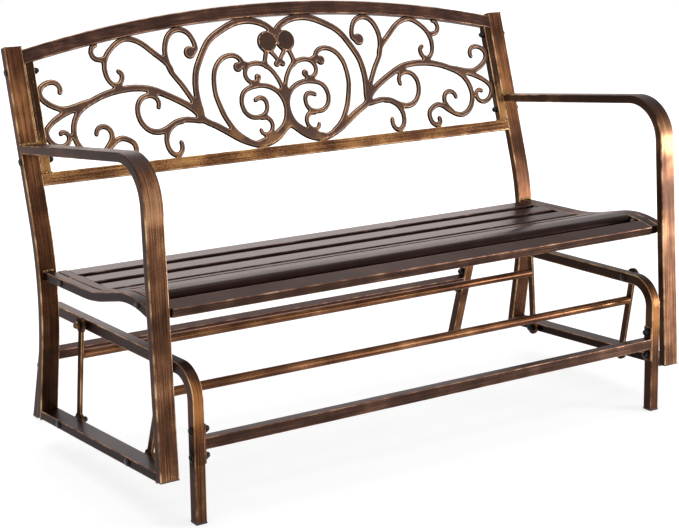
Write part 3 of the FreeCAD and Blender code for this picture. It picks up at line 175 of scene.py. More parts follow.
@dataclass(frozen=True)
class BrushedBronze:
    """Antique bronze on steel: espresso enamel with bronze lacquer dragged along it by a dry
    brush. It shows fine lighter streaks on brown, with more lacquer at some heights, gold at
    bends that is partly painted highlight, painted shade on the faces that look to the sides,
    and a satin gloss that turns pale where a lamp is mirrored."""

    name: str
    ground: str
    rubbed: str
    glint: str
    grain: Grain
    cover: float
    # Lacquer by height, as (height, amount) where 0.5 changes nothing; the gold it adds at bends
    # is partly painted highlight
    heights: tuple[Pair, ...] = ()
    roughness: float = 0.34
    metallic: float = 0.42
    # The lacquer's share on faces that look to the sides; below 1 it paints shade on them
    side_shade_share: float = 0.15
    speckle: float = 0.3
    specular: float = 0.3
    bow: float = 0.0
    # The lacquer is brown all through, so faces seen at a slant stay warm
    sheen: str = "b08c78"
    gloss_spread: float = 0.07
    # Clouds, where the brush was pressed harder, and specks, where the lacquer broke up
    cloud_size: float = 0.06
    cloud_share: float = 0.6
    speck_size: float = 0.0015
    # The levels at which the lacquer and its brightest streaks start and are full
    lacquer_levels: Pair = (-0.26, 0.28)
    glint_levels: Pair = (0.02, 0.42)
    # How squarely a face looks to the front or rear where its painted side shade starts to fade,
    # and where it is gone
    shade_facing_levels: Pair = (0.1, 0.85)

    def material(self) -> Material:
        """Build the brushed finish.

        Returns:
            The material.
        """
        made, tree, shader = start_material(self.name)
        place = add_node(tree, "TexCoord").outputs["Object"]
        scale = tuple(1.0 / length for length in self.grain.value)
        along = add_node(tree, "Mapping", {"Vector": self.unbowed(tree, place), "Scale": scale})
        marks = {"Vector": along.outputs[0], "Scale": 1.0, "Detail": 4.0, "Roughness": 0.6}
        streak = add_node(tree, "TexNoise", marks).outputs["Fac"]
        level, speck = self.level(tree, place, streak)
        # Painted shade: the faces that look to the sides get less lacquer, so they stay dark
        facing = add_node(tree, "NewGeometry").outputs["Normal"]
        ahead = add_node(tree, "SeparateXYZ", {0: facing}).outputs["Y"]
        squarely = add_node(tree, "Math", {0: ahead}, operation="ABSOLUTE").outputs[0]
        inputs = dict(zip(RANGE, (squarely, *self.shade_facing_levels, self.side_shade_share, 1.0)))
        share = add_node(tree, "MapRange", inputs).outputs[0]
        layers = []
        steps = ((self.lacquer_levels, self.rubbed), (self.glint_levels, self.glint))
        for levels, colour in steps:
            inputs = dict(zip(RANGE, (level, *levels, 0.0, share)))
            share = add_node(tree, "MapRange", inputs, interpolation_type=SMOOTH).outputs[0]
            layers.append((share, colour))
        low, high = self.roughness - self.gloss_spread, self.roughness + self.gloss_spread
        gloss = add_node(tree, "MapRange", dict(zip(RANGE, (speck, 0.0, 1.0, low, high))))
        bump = {"Height": streak, "Strength": 0.12, "Distance": BUMP_DEPTH}
        values = {
            "Roughness": gloss.outputs[0],
            "Metallic": self.metallic,
            "Specular IOR Level": self.specular,
            "Specular Tint": linear(self.sheen),
        }
        coat(tree, shader, self.ground, layers, values, bump)
        return made

    def unbowed(self, tree: Tree, place: Socket) -> Socket:
        """Take the tube's bow along X out of the coordinates, so the marks follow the tube.

        Args:
            tree: the material's node tree.
            place: the object coordinates.

        Returns:
            The straightened coordinates.
        """
        if not self.bow:
            return place
        x, y, z = add_node(tree, "SeparateXYZ", {0: place}).outputs
        square = add_node(tree, "Math", {0: x, 1: x}, operation="MULTIPLY").outputs[0]
        inputs = {0: square, 1: self.bow, 2: z}
        level = add_node(tree, "Math", inputs, operation="MULTIPLY_ADD").outputs[0]
        return add_node(tree, "CombineXYZ", {0: x, 1: y, 2: level}).outputs[0]

    def level(self, tree: Tree, place: Socket, streak: Socket) -> tuple[Socket, Socket]:
        """Add up the patterns: over 0 there is more lacquer than enamel.

        Args:
            tree: the material's node tree.
            place: the object coordinates.
            streak: the brush marks.

        Returns:
            The level, and the fine specks in it.
        """
        level = streak
        clouds = (self.cloud_size, 2.0, self.cloud_share)
        specks = (self.speck_size, 1.0, self.speckle)
        for size, detail, share in (clouds, specks):
            inputs = {"Vector": place, "Scale": 1 / size, "Detail": detail}
            pattern = add_node(tree, "TexNoise", inputs).outputs["Fac"]
            inputs = {0: pattern, 1: share, 2: level}
            level = add_node(tree, "Math", inputs, operation="MULTIPLY_ADD").outputs[0]
        # Each pattern averages 0.5
        average = 0.5 * (1.0 + self.cloud_share + self.speckle)
        inputs = {0: level, 1: self.cover - 0.5 - average}
        level = add_node(tree, "Math", inputs, operation="ADD").outputs[0]
        return self.raised_by_height(tree, place, level), pattern

    def raised_by_height(self, tree: Tree, place: Socket, level: Socket) -> Socket:
        """Add more or less lacquer at each height; at bends this gold is partly painted
        highlight.

        Args:
            tree: the material's node tree.
            place: the object coordinates.
            level: the level without the heights.

        Returns:
            The level with them.
        """
        if not self.heights:
            return level
        height = add_node(tree, "SeparateXYZ", {0: place}).outputs["Z"]
        table = add_node(tree, "ValToRGB", {0: height})
        stops = table.color_ramp.elements
        while len(stops) < len(self.heights):
            stops.new(0.5)
        for stop, (level_at, amount) in zip(stops, self.heights):
            stop.position = level_at
            stop.color = (amount, amount, amount, 1.0)
        inputs = {0: table.outputs[0], 1: 0.5}
        centred = add_node(tree, "Math", inputs, operation="SUBTRACT").outputs[0]
        return add_node(tree, "Math", {0: level, 1: centred}, operation="ADD").outputs[0]


@dataclass(frozen=True)
class RubbedCasting:
    """Cast metal in antique bronze: a brown face with a dark outline painted on the flanks and
    in the hollows as shade, a pale band painted on the rounded rims as highlight, and gold
    patches at the foot of the panel."""

    name: str
    # ground: the dark outline, painted shade on the flanks and in the hollows
    ground: str
    middle: str
    # rim: the pale band painted on the rounded shoulders as highlight
    rim: str
    gold: str
    roughness: float = 0.34
    metallic: float = 0.5
    specular: float = 0.3
    # Patches, where the cloth took more lacquer, and the sand's grain, coarsened to show
    patch_size: float = 0.04
    grain_size: float = 0.0015
    grain_share: float = 0.3
    # The relief at which the dark outline of painted shade ends and the brown is full
    outline_shade_levels: Pair = (0.68, 1.0)
    # The rounded shoulder's relief, and how far from it the rim's painted highlight ends and is
    # full
    shoulder: float = 0.82
    rim_highlight_reach: Pair = (0.14, 0.05)
    # The patch levels between which the rim's painted highlight grows, and its shares there
    rim_highlight_patches: Pair = (0.35, 0.65)
    rim_highlight_shares: Pair = (0.35, 1.0)
    # The patch levels of the gold, the heights between which it grows, and its shares there
    gold_patches: Pair = (0.46, 0.62)
    gold_heights: Pair = (0.66, 0.56)
    gold_shares: Pair = (0.15, 0.65)

    def material(self) -> Material:
        """Build the casting's finish.

        Returns:
            The material.
        """
        made, tree, shader = start_material(self.name)
        place = add_node(tree, "TexCoord").outputs["Object"]
        relief = add_node(tree, "Attribute", attribute_name="relief").outputs["Fac"]
        patch, grain = (
            add_node(
                tree, "TexNoise", {"Vector": place, "Scale": 1 / size, "Detail": detail}
            ).outputs[0]
            for size, detail in ((self.patch_size, 3.0), (self.grain_size, 2.0))
        )
        inputs = {0: grain, 1: self.grain_share, 2: relief}
        raised = add_node(tree, "Math", inputs, operation="MULTIPLY_ADD").outputs[0]
        inputs = {0: relief, 1: self.shoulder}
        above = add_node(tree, "Math", inputs, operation="SUBTRACT").outputs[0]
        away = add_node(tree, "Math", {0: above}, operation="ABSOLUTE").outputs[0]
        height = add_node(tree, "SeparateXYZ", {0: place}).outputs["Z"]
        taken, low = (
            add_node(tree, "MapRange", dict(zip(RANGE, (value, *levels, *shares)))).outputs[0]
            for value, levels, shares in (
                (patch, self.rim_highlight_patches, self.rim_highlight_shares),
                (height, self.gold_heights, self.gold_shares),
            )
        )
        # brown lifts the face out of the outline's painted shade; rims is the painted highlight
        # on the shoulders
        brown, rims, golden = (
            add_node(
                tree, "MapRange", dict(zip(RANGE, (value, *levels, 0.0, most))),
                interpolation_type=SMOOTH,
            ).outputs[0]
            for value, levels, most in (
                (raised, self.outline_shade_levels, 1.0),
                (away, self.rim_highlight_reach, taken),
                (patch, self.gold_patches, low),
            )
        )
        golden = add_node(tree, "Math", {0: golden, 1: brown}, operation="MULTIPLY").outputs[0]
        layers = [(brown, self.middle), (rims, self.rim), (golden, self.gold)]
        bump = {"Height": grain, "Strength": 0.25, "Distance": BUMP_DEPTH}
        values = {
            "Roughness": self.roughness,
            "Metallic": self.metallic,
            "Specular IOR Level": self.specular,
        }
        coat(tree, shader, self.ground, layers, values, bump)
        return made


@dataclass(frozen=True)
class TwoToneCoat:
    """One colour with grains of another: black oxide with steel showing through, moulded
    plastic, or a weld bead whose ripples took gold lacquer."""

    name: str
    colour: str
    grains: str
    roughness: float
    metallic: float
    grain_size: float = 0.0012
    grain_start: float = 0.5
    relief: float = 0.0
    grain_spread: float = 0.25

    def material(self) -> Material:
        """Build the grained finish.

        Returns:
            The material.
        """
        made, tree, shader = start_material(self.name)
        place = add_node(tree, "TexCoord").outputs["Object"]
        inputs = {"Vector": place, "Scale": 1 / self.grain_size, "Detail": 2.0}
        grain = add_node(tree, "TexNoise", inputs).outputs["Fac"]
        full = self.grain_start + self.grain_spread
        inputs = dict(zip(RANGE, (grain, self.grain_start, full)))
        share = add_node(tree, "MapRange", inputs, interpolation_type=SMOOTH).outputs[0]
        values = {"Roughness": self.roughness, "Metallic": self.metallic}
        bump = {"Height": grain, "Strength": 0.5, "Distance": self.relief}
        coat(
            tree, shader, self.colour, [(share, self.grains)], values, bump if self.relief else {}
        )
        return made


BENT, ALONG_X, DABBED = Grain.BENT_SIDEWAYS, Grain.ALONG_X, Grain.DABBED


class Finish(Enum):
    """Every finish on the bench."""

    # Bent tubes, brushed lengthwise: long streaks, golden where they were rubbed harder; the gold
    # that their height tables add at bends is partly painted highlight
    POST = BrushedBronze(
        "Brushed bronze post", "2c1a12", "744930", "a67247", BENT, 0.5,
        ((0.05, 0.40), (0.33, 0.38), (0.38, 0.54), (0.50, 0.42), (0.66, 0.68), (0.76, 0.54)),
    )
    ARM = BrushedBronze(
        "Brushed bronze arm", "281a13", "7a5038", "b68863", BENT, 0.5,
        ((0.10, 0.50), (0.40, 0.54), (0.540, 0.50), (0.565, 0.84), (0.63, 0.56), (0.655, 0.24)),
    )
    BASE_ARCH = BrushedBronze(
        "Brushed bronze base rail", "281812", "74482b", "a8703f", BENT, 0.48,
        ((0.10, 0.44), (0.15, 0.54), (0.21, 0.82), (0.25, 0.56), (0.28, 0.36)),
    )
    BASE_LEG = BrushedBronze("Brushed bronze base leg", "2c1a12", "68432b", "9e6e46", BENT, 0.56)
    SIDE_TUBE = BrushedBronze(
        "Brushed bronze side tube", "21150f", "4a3023", "a87a4a", BENT, 0.48,
        ((0.57, 0.82), (0.61, 0.72), (0.645, 0.46)), speckle=0.9,
    )
    SEAT_RAIL = BrushedBronze(
        "Espresso seat rail", "1c1110", "36221c", "6a4936", BENT, 0.46, specular=0.2
    )
    # Tubes that run from side to side: streaks along X, mottled on the back's foot rail
    BOTTOM_RAIL = BrushedBronze(
        "Brushed bronze back rail", "2f1c14", "7c4f33", "c4925a", ALONG_X, 0.58, speckle=0.9
    )
    CROSSBAR = BrushedBronze(
        "Brushed bronze crossbar", "2e201b", "5c4034", "8e6a56", ALONG_X, 0.48
    )
    TOP_ARCH = BrushedBronze(
        "Espresso top arch", "2f1f1c", "583d33", "8c644c", ALONG_X, 0.5, bow=0.168
    )
    SLAT = BrushedBronze(
        "Espresso slat", "1d1213", "2e1d1c", "4a3530", ALONG_X, 0.42, roughness=0.3
    )
    # Round bar, the most polished metal of the bench: a bright copper line along it
    SWING_BAR = BrushedBronze(
        "Copper swing bar", "40281c", "825639", "bd8a62", ALONG_X, 0.54,
        roughness=0.28, metallic=0.55, side_shade_share=0.8, speckle=0.12,
    )
    # Tube corners: a pale broken line painted along each as the highlight that the rounded corner
    # catches
    EDGE_GOLD = BrushedBronze(
        "Gold edge highlight", "6a452e", "aa7a50", "ecc698", DABBED, 0.66, side_shade_share=0.9
    )
    EDGE_ARM = BrushedBronze(
        "Gold arm edge highlight", "33231c", "9c7050", "e4bf96", DABBED, 0.66,
        ((0.59, 0.50), (0.625, 0.40), (0.642, 0.05)), side_shade_share=0.9,
    )
    EDGE_COPPER = BrushedBronze(
        "Copper edge highlight", "4a322b", "835e4c", "bd9578", DABBED, 0.62, side_shade_share=0.9
    )
    EDGE_SLAT = BrushedBronze(
        "Espresso slat edge", "2e1f1f", "503b36", "86695f", DABBED, 0.5, side_shade_share=0.9
    )
    # Sand-cast metal: a dark outline painted as shade, pale rims painted as highlight, and a
    # brown, grainy face
    CASTING = RubbedCasting("Cast bronze scroll-work", "170d0a", "4e362c", "c99c7a", "94683f")
    # Weld ripples of 3 mm, gold on their tops
    WELD = TwoToneCoat(
        "Weld bead under lacquer", "3c2817", "c4934f", 0.38, 0.4, 0.0030, 0.40, 0.0006
    )
    # Blackened, enamelled and lacquered fasteners: dark domes with a soft highlight
    BLACK_OXIDE = TwoToneCoat("Black oxide steel", "121114", "353134", 0.34, 0.6)
    PAINTED_STEEL = TwoToneCoat("Enamelled seat bolt", "221817", "4a3733", 0.36, 0.3)
    PAINTED_NUT = TwoToneCoat(
        "Bronze enamelled link nut", "4a3120", "a5753f", 0.36, 0.4, 0.004, 0.4
    )
    # Moulded plastic: matt, with a faint mottle
    PLUG_PLASTIC = TwoToneCoat("Moulded polyethylene plug", "1a1210", "2b211c", 0.55, 0.0)
    BUSHING_PLASTIC = TwoToneCoat("Moulded nylon bushing", "161616", "262626", 0.5, 0.0)

    @cached_property
    def material(self) -> Material:
        """The finish's material, made the first time that it is asked for."""
        return self.value.material()


def sides(*stems: str) -> list[str]:
    """The left and right node of each stem."""
    return [f"{stem}_{side}" for stem in stems for side in ("left", "right")]


def body_of_node(node: str) -> str:
    """Look up the CAD body that a node belongs to.

    Args:
        node: the CAD node's name.

    Returns:
        The body's name.
    """
    for body, members in frame["record"]["behaviour"]["bodies"].items():
        if node in members:
            return body
    raise KeyError(node)


def merged_copy(node: str) -> Mesh:
    """Copy a node's mesh, with its loose triangles joined and its flat faces made whole.

    Args:
        node: the CAD node's name.

    Returns:
        A new bmesh in metres, in the record's frame.
    """
    shape = bmesh.new()
    shape.from_mesh(frame["nodes"][node].data)
    bmesh.ops.remove_doubles(shape, verts=shape.verts, dist=MERGE_GAP)
    bmesh.ops.dissolve_limit(shape, angle_limit=FLAT_ANGLE, verts=shape.verts, edges=shape.edges)
    return shape


def finish_piece(shape: Mesh, name: str, finishes: list[Finish], body: str) -> Object:
    """Turn a bmesh into a smooth-shaded object that rides on a body.

    Args:
        shape: the mesh, which is freed.
        name: the piece's name.
        finishes: one for each of its material slots.
        body: the CAD body it rides on.

    Returns:
        The new object.
    """
    for face in shape.faces:
        face.smooth = True
    for edge in shape.edges:
        if len(edge.link_faces) == 2:
            edge.smooth = edge.calc_face_angle(0.0) < CREASE_ANGLE
    mesh = bpy.data.meshes.new(name)
    shape.to_mesh(mesh)
    shape.free()
    piece = bpy.data.objects.new(name, mesh)
    bpy.context.scene.collection.objects.link(piece)
    for finish in finishes:
        mesh.materials.append(finish.material)
    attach(piece, body)
    LOG.info("made %s on %s: %d faces", name, body, len(mesh.polygons))
    return piece


def dress(finish: Finish, *nodes: str) -> None:
    """Give CAD nodes whose own shape is right their finish.

    Args:
        finish: the finish.
        nodes: the nodes' names.
    """
    for node in nodes:
        mesh = frame["nodes"][node].data
        mesh.materials.clear()
        mesh.materials.append(finish.material)
        LOG.info("dressed %s as it is", node)


@dataclass
class TubeSet:
    """Steel tubes of one finish, with the rounded corners that rolled tube has."""

    nodes: list[str]
    finish: Finish
    # The finish of the rounded corners: a painted highlight
    edge_finish: Finish
    slot: str
    corner_radius: float
    corner_segments: int = 3
    # A long corner turns more than this, between faces wider than twice this
    corner_angle: float = math.radians(40)
    face_width: float = 0.001

    def build(self) -> None:
        """Round, dress and place each tube."""
        for node in self.nodes:
            shape = merged_copy(node)
            self.round_corners(shape)
            finishes = [self.finish, self.edge_finish]
            piece = finish_piece(shape, f"{node}_tube", finishes, body_of_node(node))
            weighted = piece.modifiers.new("Even shading", "WEIGHTED_NORMAL")
            weighted.keep_sharp = True
            weighted.weight = 60
            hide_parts(node)

    def round_corners(self, shape: Mesh) -> None:
        """Round the long corners, give their faces slot 1, and leave the cut ends alone.

        Args:
            shape: the tube's merged mesh.
        """
        corners = []
        for edge in shape.edges:
            if len(edge.link_faces) != 2 or not edge.is_convex:
                continue
            if edge.calc_face_angle(0.0) < self.corner_angle:
                continue
            if all(f.calc_area() > self.face_width * f.calc_perimeter() for f in edge.link_faces):
                corners.append(edge)
        made = bmesh.ops.bevel(
            shape, geom=corners, offset=self.corner_radius, offset_type="OFFSET",
            segments=self.corner_segments, profile=0.5, affect="EDGES", clamp_overlap=True,
            material=-1,
        )
        for face in made["faces"]:
            face.material_index = 1


@dataclass
class Fixings:
    """The dome-headed bolts and the dome nuts of one place, all lying along X."""

    stem: str
    bolt_finish: Finish
    nut_finish: Finish
    head_radius: float = 0.0080
    head_height: float = 0.0045
    skirt_share: float = 0.25
    shank_radius: float = 0.0040
    flats: float = 0.0130
    hex_height: float = 0.0065
    hex_rounding: float = 0.0007
    nut_length: float = 0.0123
    crown_inset: float = 0.0004
    crown_overlap: float = 0.0002
    rings: int = 6
    steps: int = 28
    # Only a bolt's head is wider than this many shank radii, and a nut's hexagon than this
    # many flats
    head_reach: float = 1.5
    hex_reach: float = 0.54

    def build(self) -> None:
        """Make each bolt and nut where its CAD solid is."""
        for node, make, finish in (
            (f"{self.stem}_bolts", self.bolt, self.bolt_finish),
            (f"{self.stem}_nuts", self.nut, self.nut_finish),
        ):
            shape = bmesh.new()
            for solid in self.solids(node):
                make(shape, solid)
            bmesh.ops.recalc_face_normals(shape, faces=shape.faces)
            piece = finish_piece(shape, f"{node}_domed", [finish], body_of_node(node))
            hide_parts(node)

    def solids(self, node: str) -> list[list[Vector]]:
        """Part a node's separate solids.

        Args:
            node: the CAD node's name.

        Returns:
            One list of corners for each solid.
        """
        source = merged_copy(node)
        left = set(source.verts)
        found = []
        while left:
            queue = [left.pop()]
            solid = []
            while queue:
                vert = queue.pop()
                solid.append(vert.co.copy())
                near = {end for edge in vert.link_edges for end in edge.verts} & left
                left -= near
                queue += near
            found.append(solid)
        source.free()
        return found

    def placed(self, solid: list[Vector], beyond: float) -> tuple[float, float, Vector]:
        """Find how a solid lies.

        Args:
            solid: its corners.
            beyond: the radius beyond which only its wide end reaches.

        Returns:
            The x of its wide end, the x of its thin end, and its middle.
        """
        low, high = (Vector([pick(v[i] for v in solid) for i in range(3)]) for pick in (min, max))
        middle = (low + high) / 2
        rim = [v.x for v in solid if math.hypot(v.y - middle.y, v.z - middle.z) > beyond]
        if sum(rim) / len(rim) > middle.x:
            return high.x, low.x, middle
        return low.x, high.x, middle

    def bolt(self, shape: Mesh, solid: list[Vector]) -> None:
        """Make one dome-headed bolt.

        Args:
            shape: the mesh that gets it.
            solid: the CAD solid's corners.
        """
        outer, tail, middle = self.placed(solid, self.head_reach * self.shank_radius)
        way = math.copysign(1.0, outer - tail)
        seat = outer - way * self.head_height
        skirt = self.skirt_share * self.head_height
        outline = [(tail, 0.0), (tail, self.shank_radius), (seat, self.shank_radius)]
        outline.append((seat, self.head_radius))
        dome_height = way * (self.head_height - skirt)
        outline += self.dome(seat + way * skirt, dome_height, self.head_radius)
        self.spun(shape, outline, middle)

    def nut(self, shape: Mesh, solid: list[Vector]) -> None:
        """Make one dome nut with its hexagon and its crown.

        Args:
            shape: the mesh that gets it.
            solid: the CAD solid's corners.
        """
        seat, tip, middle = self.placed(solid, self.hex_reach * self.flats)
        way = math.copysign(1.0, tip - seat)
        centre = (seat + way * self.hex_height / 2, middle.y, middle.z)
        radius = self.flats / math.sqrt(3)
        hexagon = bmesh.ops.create_cone(
            shape, cap_ends=True, segments=6, radius1=radius, radius2=radius,
            depth=self.hex_height,
            matrix=Matrix.Translation(centre) @ Matrix.Rotation(math.pi / 2, 4, "Y"),
        )
        rims = {
            edge
            for vert in hexagon["verts"]
            for edge in vert.link_edges
            if abs(edge.verts[0].co.x - edge.verts[1].co.x) < MERGE_GAP
        }
        bmesh.ops.bevel(
            shape, geom=list(rims), offset=self.hex_rounding, segments=2, profile=0.5,
            affect="EDGES", material=-1,
        )
        start = seat + way * (self.hex_height - self.crown_overlap)
        crown = self.nut_length - self.hex_height + self.crown_overlap
        dome = self.dome(start, way * crown, self.flats / 2 - self.crown_inset)
        self.spun(shape, [(start, 0.0)] + dome, middle)

    def dome(self, start: float, height: float, radius: float) -> list[Pair]:
        """Draw a dome as (x, radius) points.

        Args:
            start: the rim's x.
            height: its height, below zero where it looks to -X.
            radius: its rim's radius.

        Returns:
            The points, from the rim to the tip.
        """
        turns = [ring / self.rings * math.pi / 2 for ring in range(self.rings)]
        side = [(start + height * math.sin(turn), radius * math.cos(turn)) for turn in turns]
        return side + [(start + height, 0.0)]

    def spun(self, shape: Mesh, outline: list[Pair], at: Vector) -> None:
        """Spin an outline of (x, radius) points round the X axis through a point.

        Args:
            shape: the mesh that gets the solid.
            outline: the points, from axis to axis.
            at: a point on the axis; its x isn't used.
        """
        chain = [shape.verts.new((x, at.y, at.z + radius)) for x, radius in outline]
        lines = [shape.edges.new(pair) for pair in zip(chain, chain[1:])]
        bmesh.ops.spin(
            shape, geom=chain + lines, cent=(0.0, at.y, at.z), axis=RIGHT, angle=math.tau,
            steps=self.steps, use_merge=True,
        )
        bmesh.ops.remove_doubles(shape, verts=shape.verts, dist=MERGE_GAP / 10)


@dataclass(frozen=True)
class LeaningBack:
    """The plane of the back: heights go up the posts' lean from the bottom rail's foot."""

    foot: Pair = (0.1940, 0.5329)
    # The posts lean back 150 mm over a height of 463.1 mm
    lean: float = math.atan2(150.0, 463.1)

    def rise(self) -> Vector:
        """The direction up the back."""
        return Vector((0.0, math.sin(self.lean), math.cos(self.lean)))

    def depth(self) -> Vector:
        """The direction from the back's front to its rear."""
        return Vector((0.0, math.cos(self.lean), -math.sin(self.lean)))

    def point(self, across: float, up: float, deep: float) -> Vector:
        """Find a point of the back.

        Args:
            across: its place along X.
            up: its place up the back.
            deep: how far it lies behind the rail's front face.

        Returns:
            The point.
        """
        foot = Vector((across, self.foot[0], self.foot[1]))
        return foot + self.rise() * up + self.depth() * deep


BACK = LeaningBack()


@dataclass(frozen=True)
class Lump:
    """A flat disc or a ball end, which the casting has on both sides of its centreline."""

    across: float
    up: float
    radius: float


@dataclass
class ScrollCasting:
    """The cast scroll-work of the back: flat discs, ball ends and fat rounded members."""

    node: str = "backrest_scroll_panel"
    voxel: float = 0.0020
    smoothing: int = 2
    plump: float = 0.0012
    rounding: float = 0.0056
    edge_share: float = 0.30
    # A flank's normal is nearer than this to square with the back's depth
    flank_facing: float = 0.6
    discs: tuple[Lump, ...] = (Lump(0.0235, 0.2550, 0.0238),)
    disc_stand: float = 0.0004
    disc_draw: float = 0.02
    disc_rim: float = 0.0025
    disc_relief: float = 0.67
    # The last two close the members' small gaps on the centreline
    balls: tuple[Lump, ...] = (
        Lump(0.2180, 0.2450, 0.0138), Lump(0.1070, 0.2050, 0.0112),
        Lump(0.0610, 0.1790, 0.0088), Lump(0.0080, 0.2050, 0.0074),
        Lump(0.0355, 0.2030, 0.0070), Lump(0.0, 0.136, 0.0085), Lump(0.0, 0.082, 0.0085),
    )
    ball_draw: float = 0.5
    lump_segments: int = 40

    def build(self) -> None:
        """Round the casting and mark how high each point stands above its mid-plane."""
        shape = merged_copy(self.node)
        depths = [vert.co.dot(BACK.depth()) for vert in shape.verts]
        middle = (max(depths) + min(depths)) / 2
        half = (max(depths) - min(depths)) / 2
        for disc in self.discs:
            self.add_lump(shape, disc, middle, half + self.disc_stand, self.disc_draw)
        for ball in self.balls:
            self.add_lump(shape, ball, middle, half, self.ball_draw)
        body = body_of_node(self.node)
        piece = finish_piece(shape, "scroll_casting", [Finish.CASTING], body)
        skin = self.skin_of(piece)
        self.smooth(skin)
        skin.normal_update()
        for vert in skin.verts:
            vert.co += vert.normal * self.plump
        self.round_members(skin, middle)
        self.smooth(skin)
        for face in skin.faces:
            face.smooth = True
        skin.to_mesh(piece.data)
        skin.free()
        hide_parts(self.node)
        LOG.info("rounded %s: %d faces", piece.name, len(piece.data.polygons))

    def add_lump(self, shape: Mesh, lump: Lump, middle: float, half: float, draw: float) -> None:
        """Add a closed disc or ball end on each side, for the skin to join to the members.

        Args:
            shape: the casting's mesh.
            lump: its place and radius.
            middle: the casting's mid-plane along the back's depth.
            half: half its thickness.
            draw: how far its faces draw in at the rim, as a share of the radius.
        """
        deep = middle - BACK.point(0.0, 0.0, 0.0).dot(BACK.depth())
        turned = Matrix.Rotation(-math.pi / 2 - BACK.lean, 4, "X")
        for across in (lump.across, -lump.across):
            for way in (1, -1):
                place = Matrix.Translation(BACK.point(across, lump.up, deep)) @ turned
                bmesh.ops.create_cone(
                    shape, cap_ends=True, segments=self.lump_segments, radius1=lump.radius,
                    radius2=lump.radius * (1 - draw), depth=half,
                    matrix=place
                    @ Matrix.Diagonal((1.0, 1.0, way, 1.0))
                    @ Matrix.Translation((0.0, 0.0, half / 2)),
                )

    def skin_of(self, piece: Object) -> Mesh:
        """Draw one closed skin over the members and lumps.

        Args:
            piece: the casting's object.

        Returns:
            The skin as a new bmesh.
        """
        remesh = piece.modifiers.new("Casting skin", "REMESH")
        remesh.mode = "VOXEL"
        remesh.voxel_size = self.voxel
        bpy.context.view_layer.update()
        evaluated = piece.evaluated_get(bpy.context.evaluated_depsgraph_get())
        skin = bmesh.new()
        skin.from_mesh(evaluated.to_mesh())
        evaluated.to_mesh_clear()
        piece.modifiers.clear()
        return skin

    def smooth(self, skin: Mesh) -> None:
        """Take the voxel steps off the casting's skin.

        Args:
            skin: the casting's mesh.
        """
        axes = {f"use_axis_{axis}": True for axis in "xyz"}
        for _ in range(self.smoothing):
            bmesh.ops.smooth_vert(skin, verts=skin.verts, factor=0.5, **axes)

    def round_members(self, skin: Mesh, middle: float) -> None:
        """Round the flat faces towards their outline and store the relief, 0 to 1.

        Args:
            skin: the casting's mesh.
            middle: its mid-plane along the back's depth.
        """
        depth = BACK.depth()
        layer = skin.verts.layers.float.new("relief")
        flanks = [v for v in skin.verts if abs(v.normal.dot(depth)) < self.flank_facing]
        outline = kdtree.KDTree(len(flanks))
        for index, vert in enumerate(flanks):
            outline.insert(vert.co - depth * vert.co.dot(depth), index)
        outline.balance()
        for vert in skin.verts:
            level = vert.co.dot(depth) - middle
            if abs(vert.normal.dot(depth)) < self.flank_facing:
                vert[layer] = 0.0
                vert.co -= depth * level * (1 - self.edge_share)
                continue
            inward = outline.find(vert.co - depth * vert.co.dot(depth))[2]
            left = 1 - min(1.0, inward / self.rounding)
            crown = math.sqrt(1 - left * left)
            vert[layer] = crown
            share = self.edge_share + (1 - self.edge_share) * crown
            vert.co -= depth * level * (1 - share)
            for disc in self.discs:
                away = BACK.point(math.copysign(disc.across, vert.co.x), disc.up, 0.0) - vert.co
                if math.hypot(away.x, away.dot(BACK.rise())) < disc.radius - self.disc_rim:
                    vert[layer] = self.disc_relief


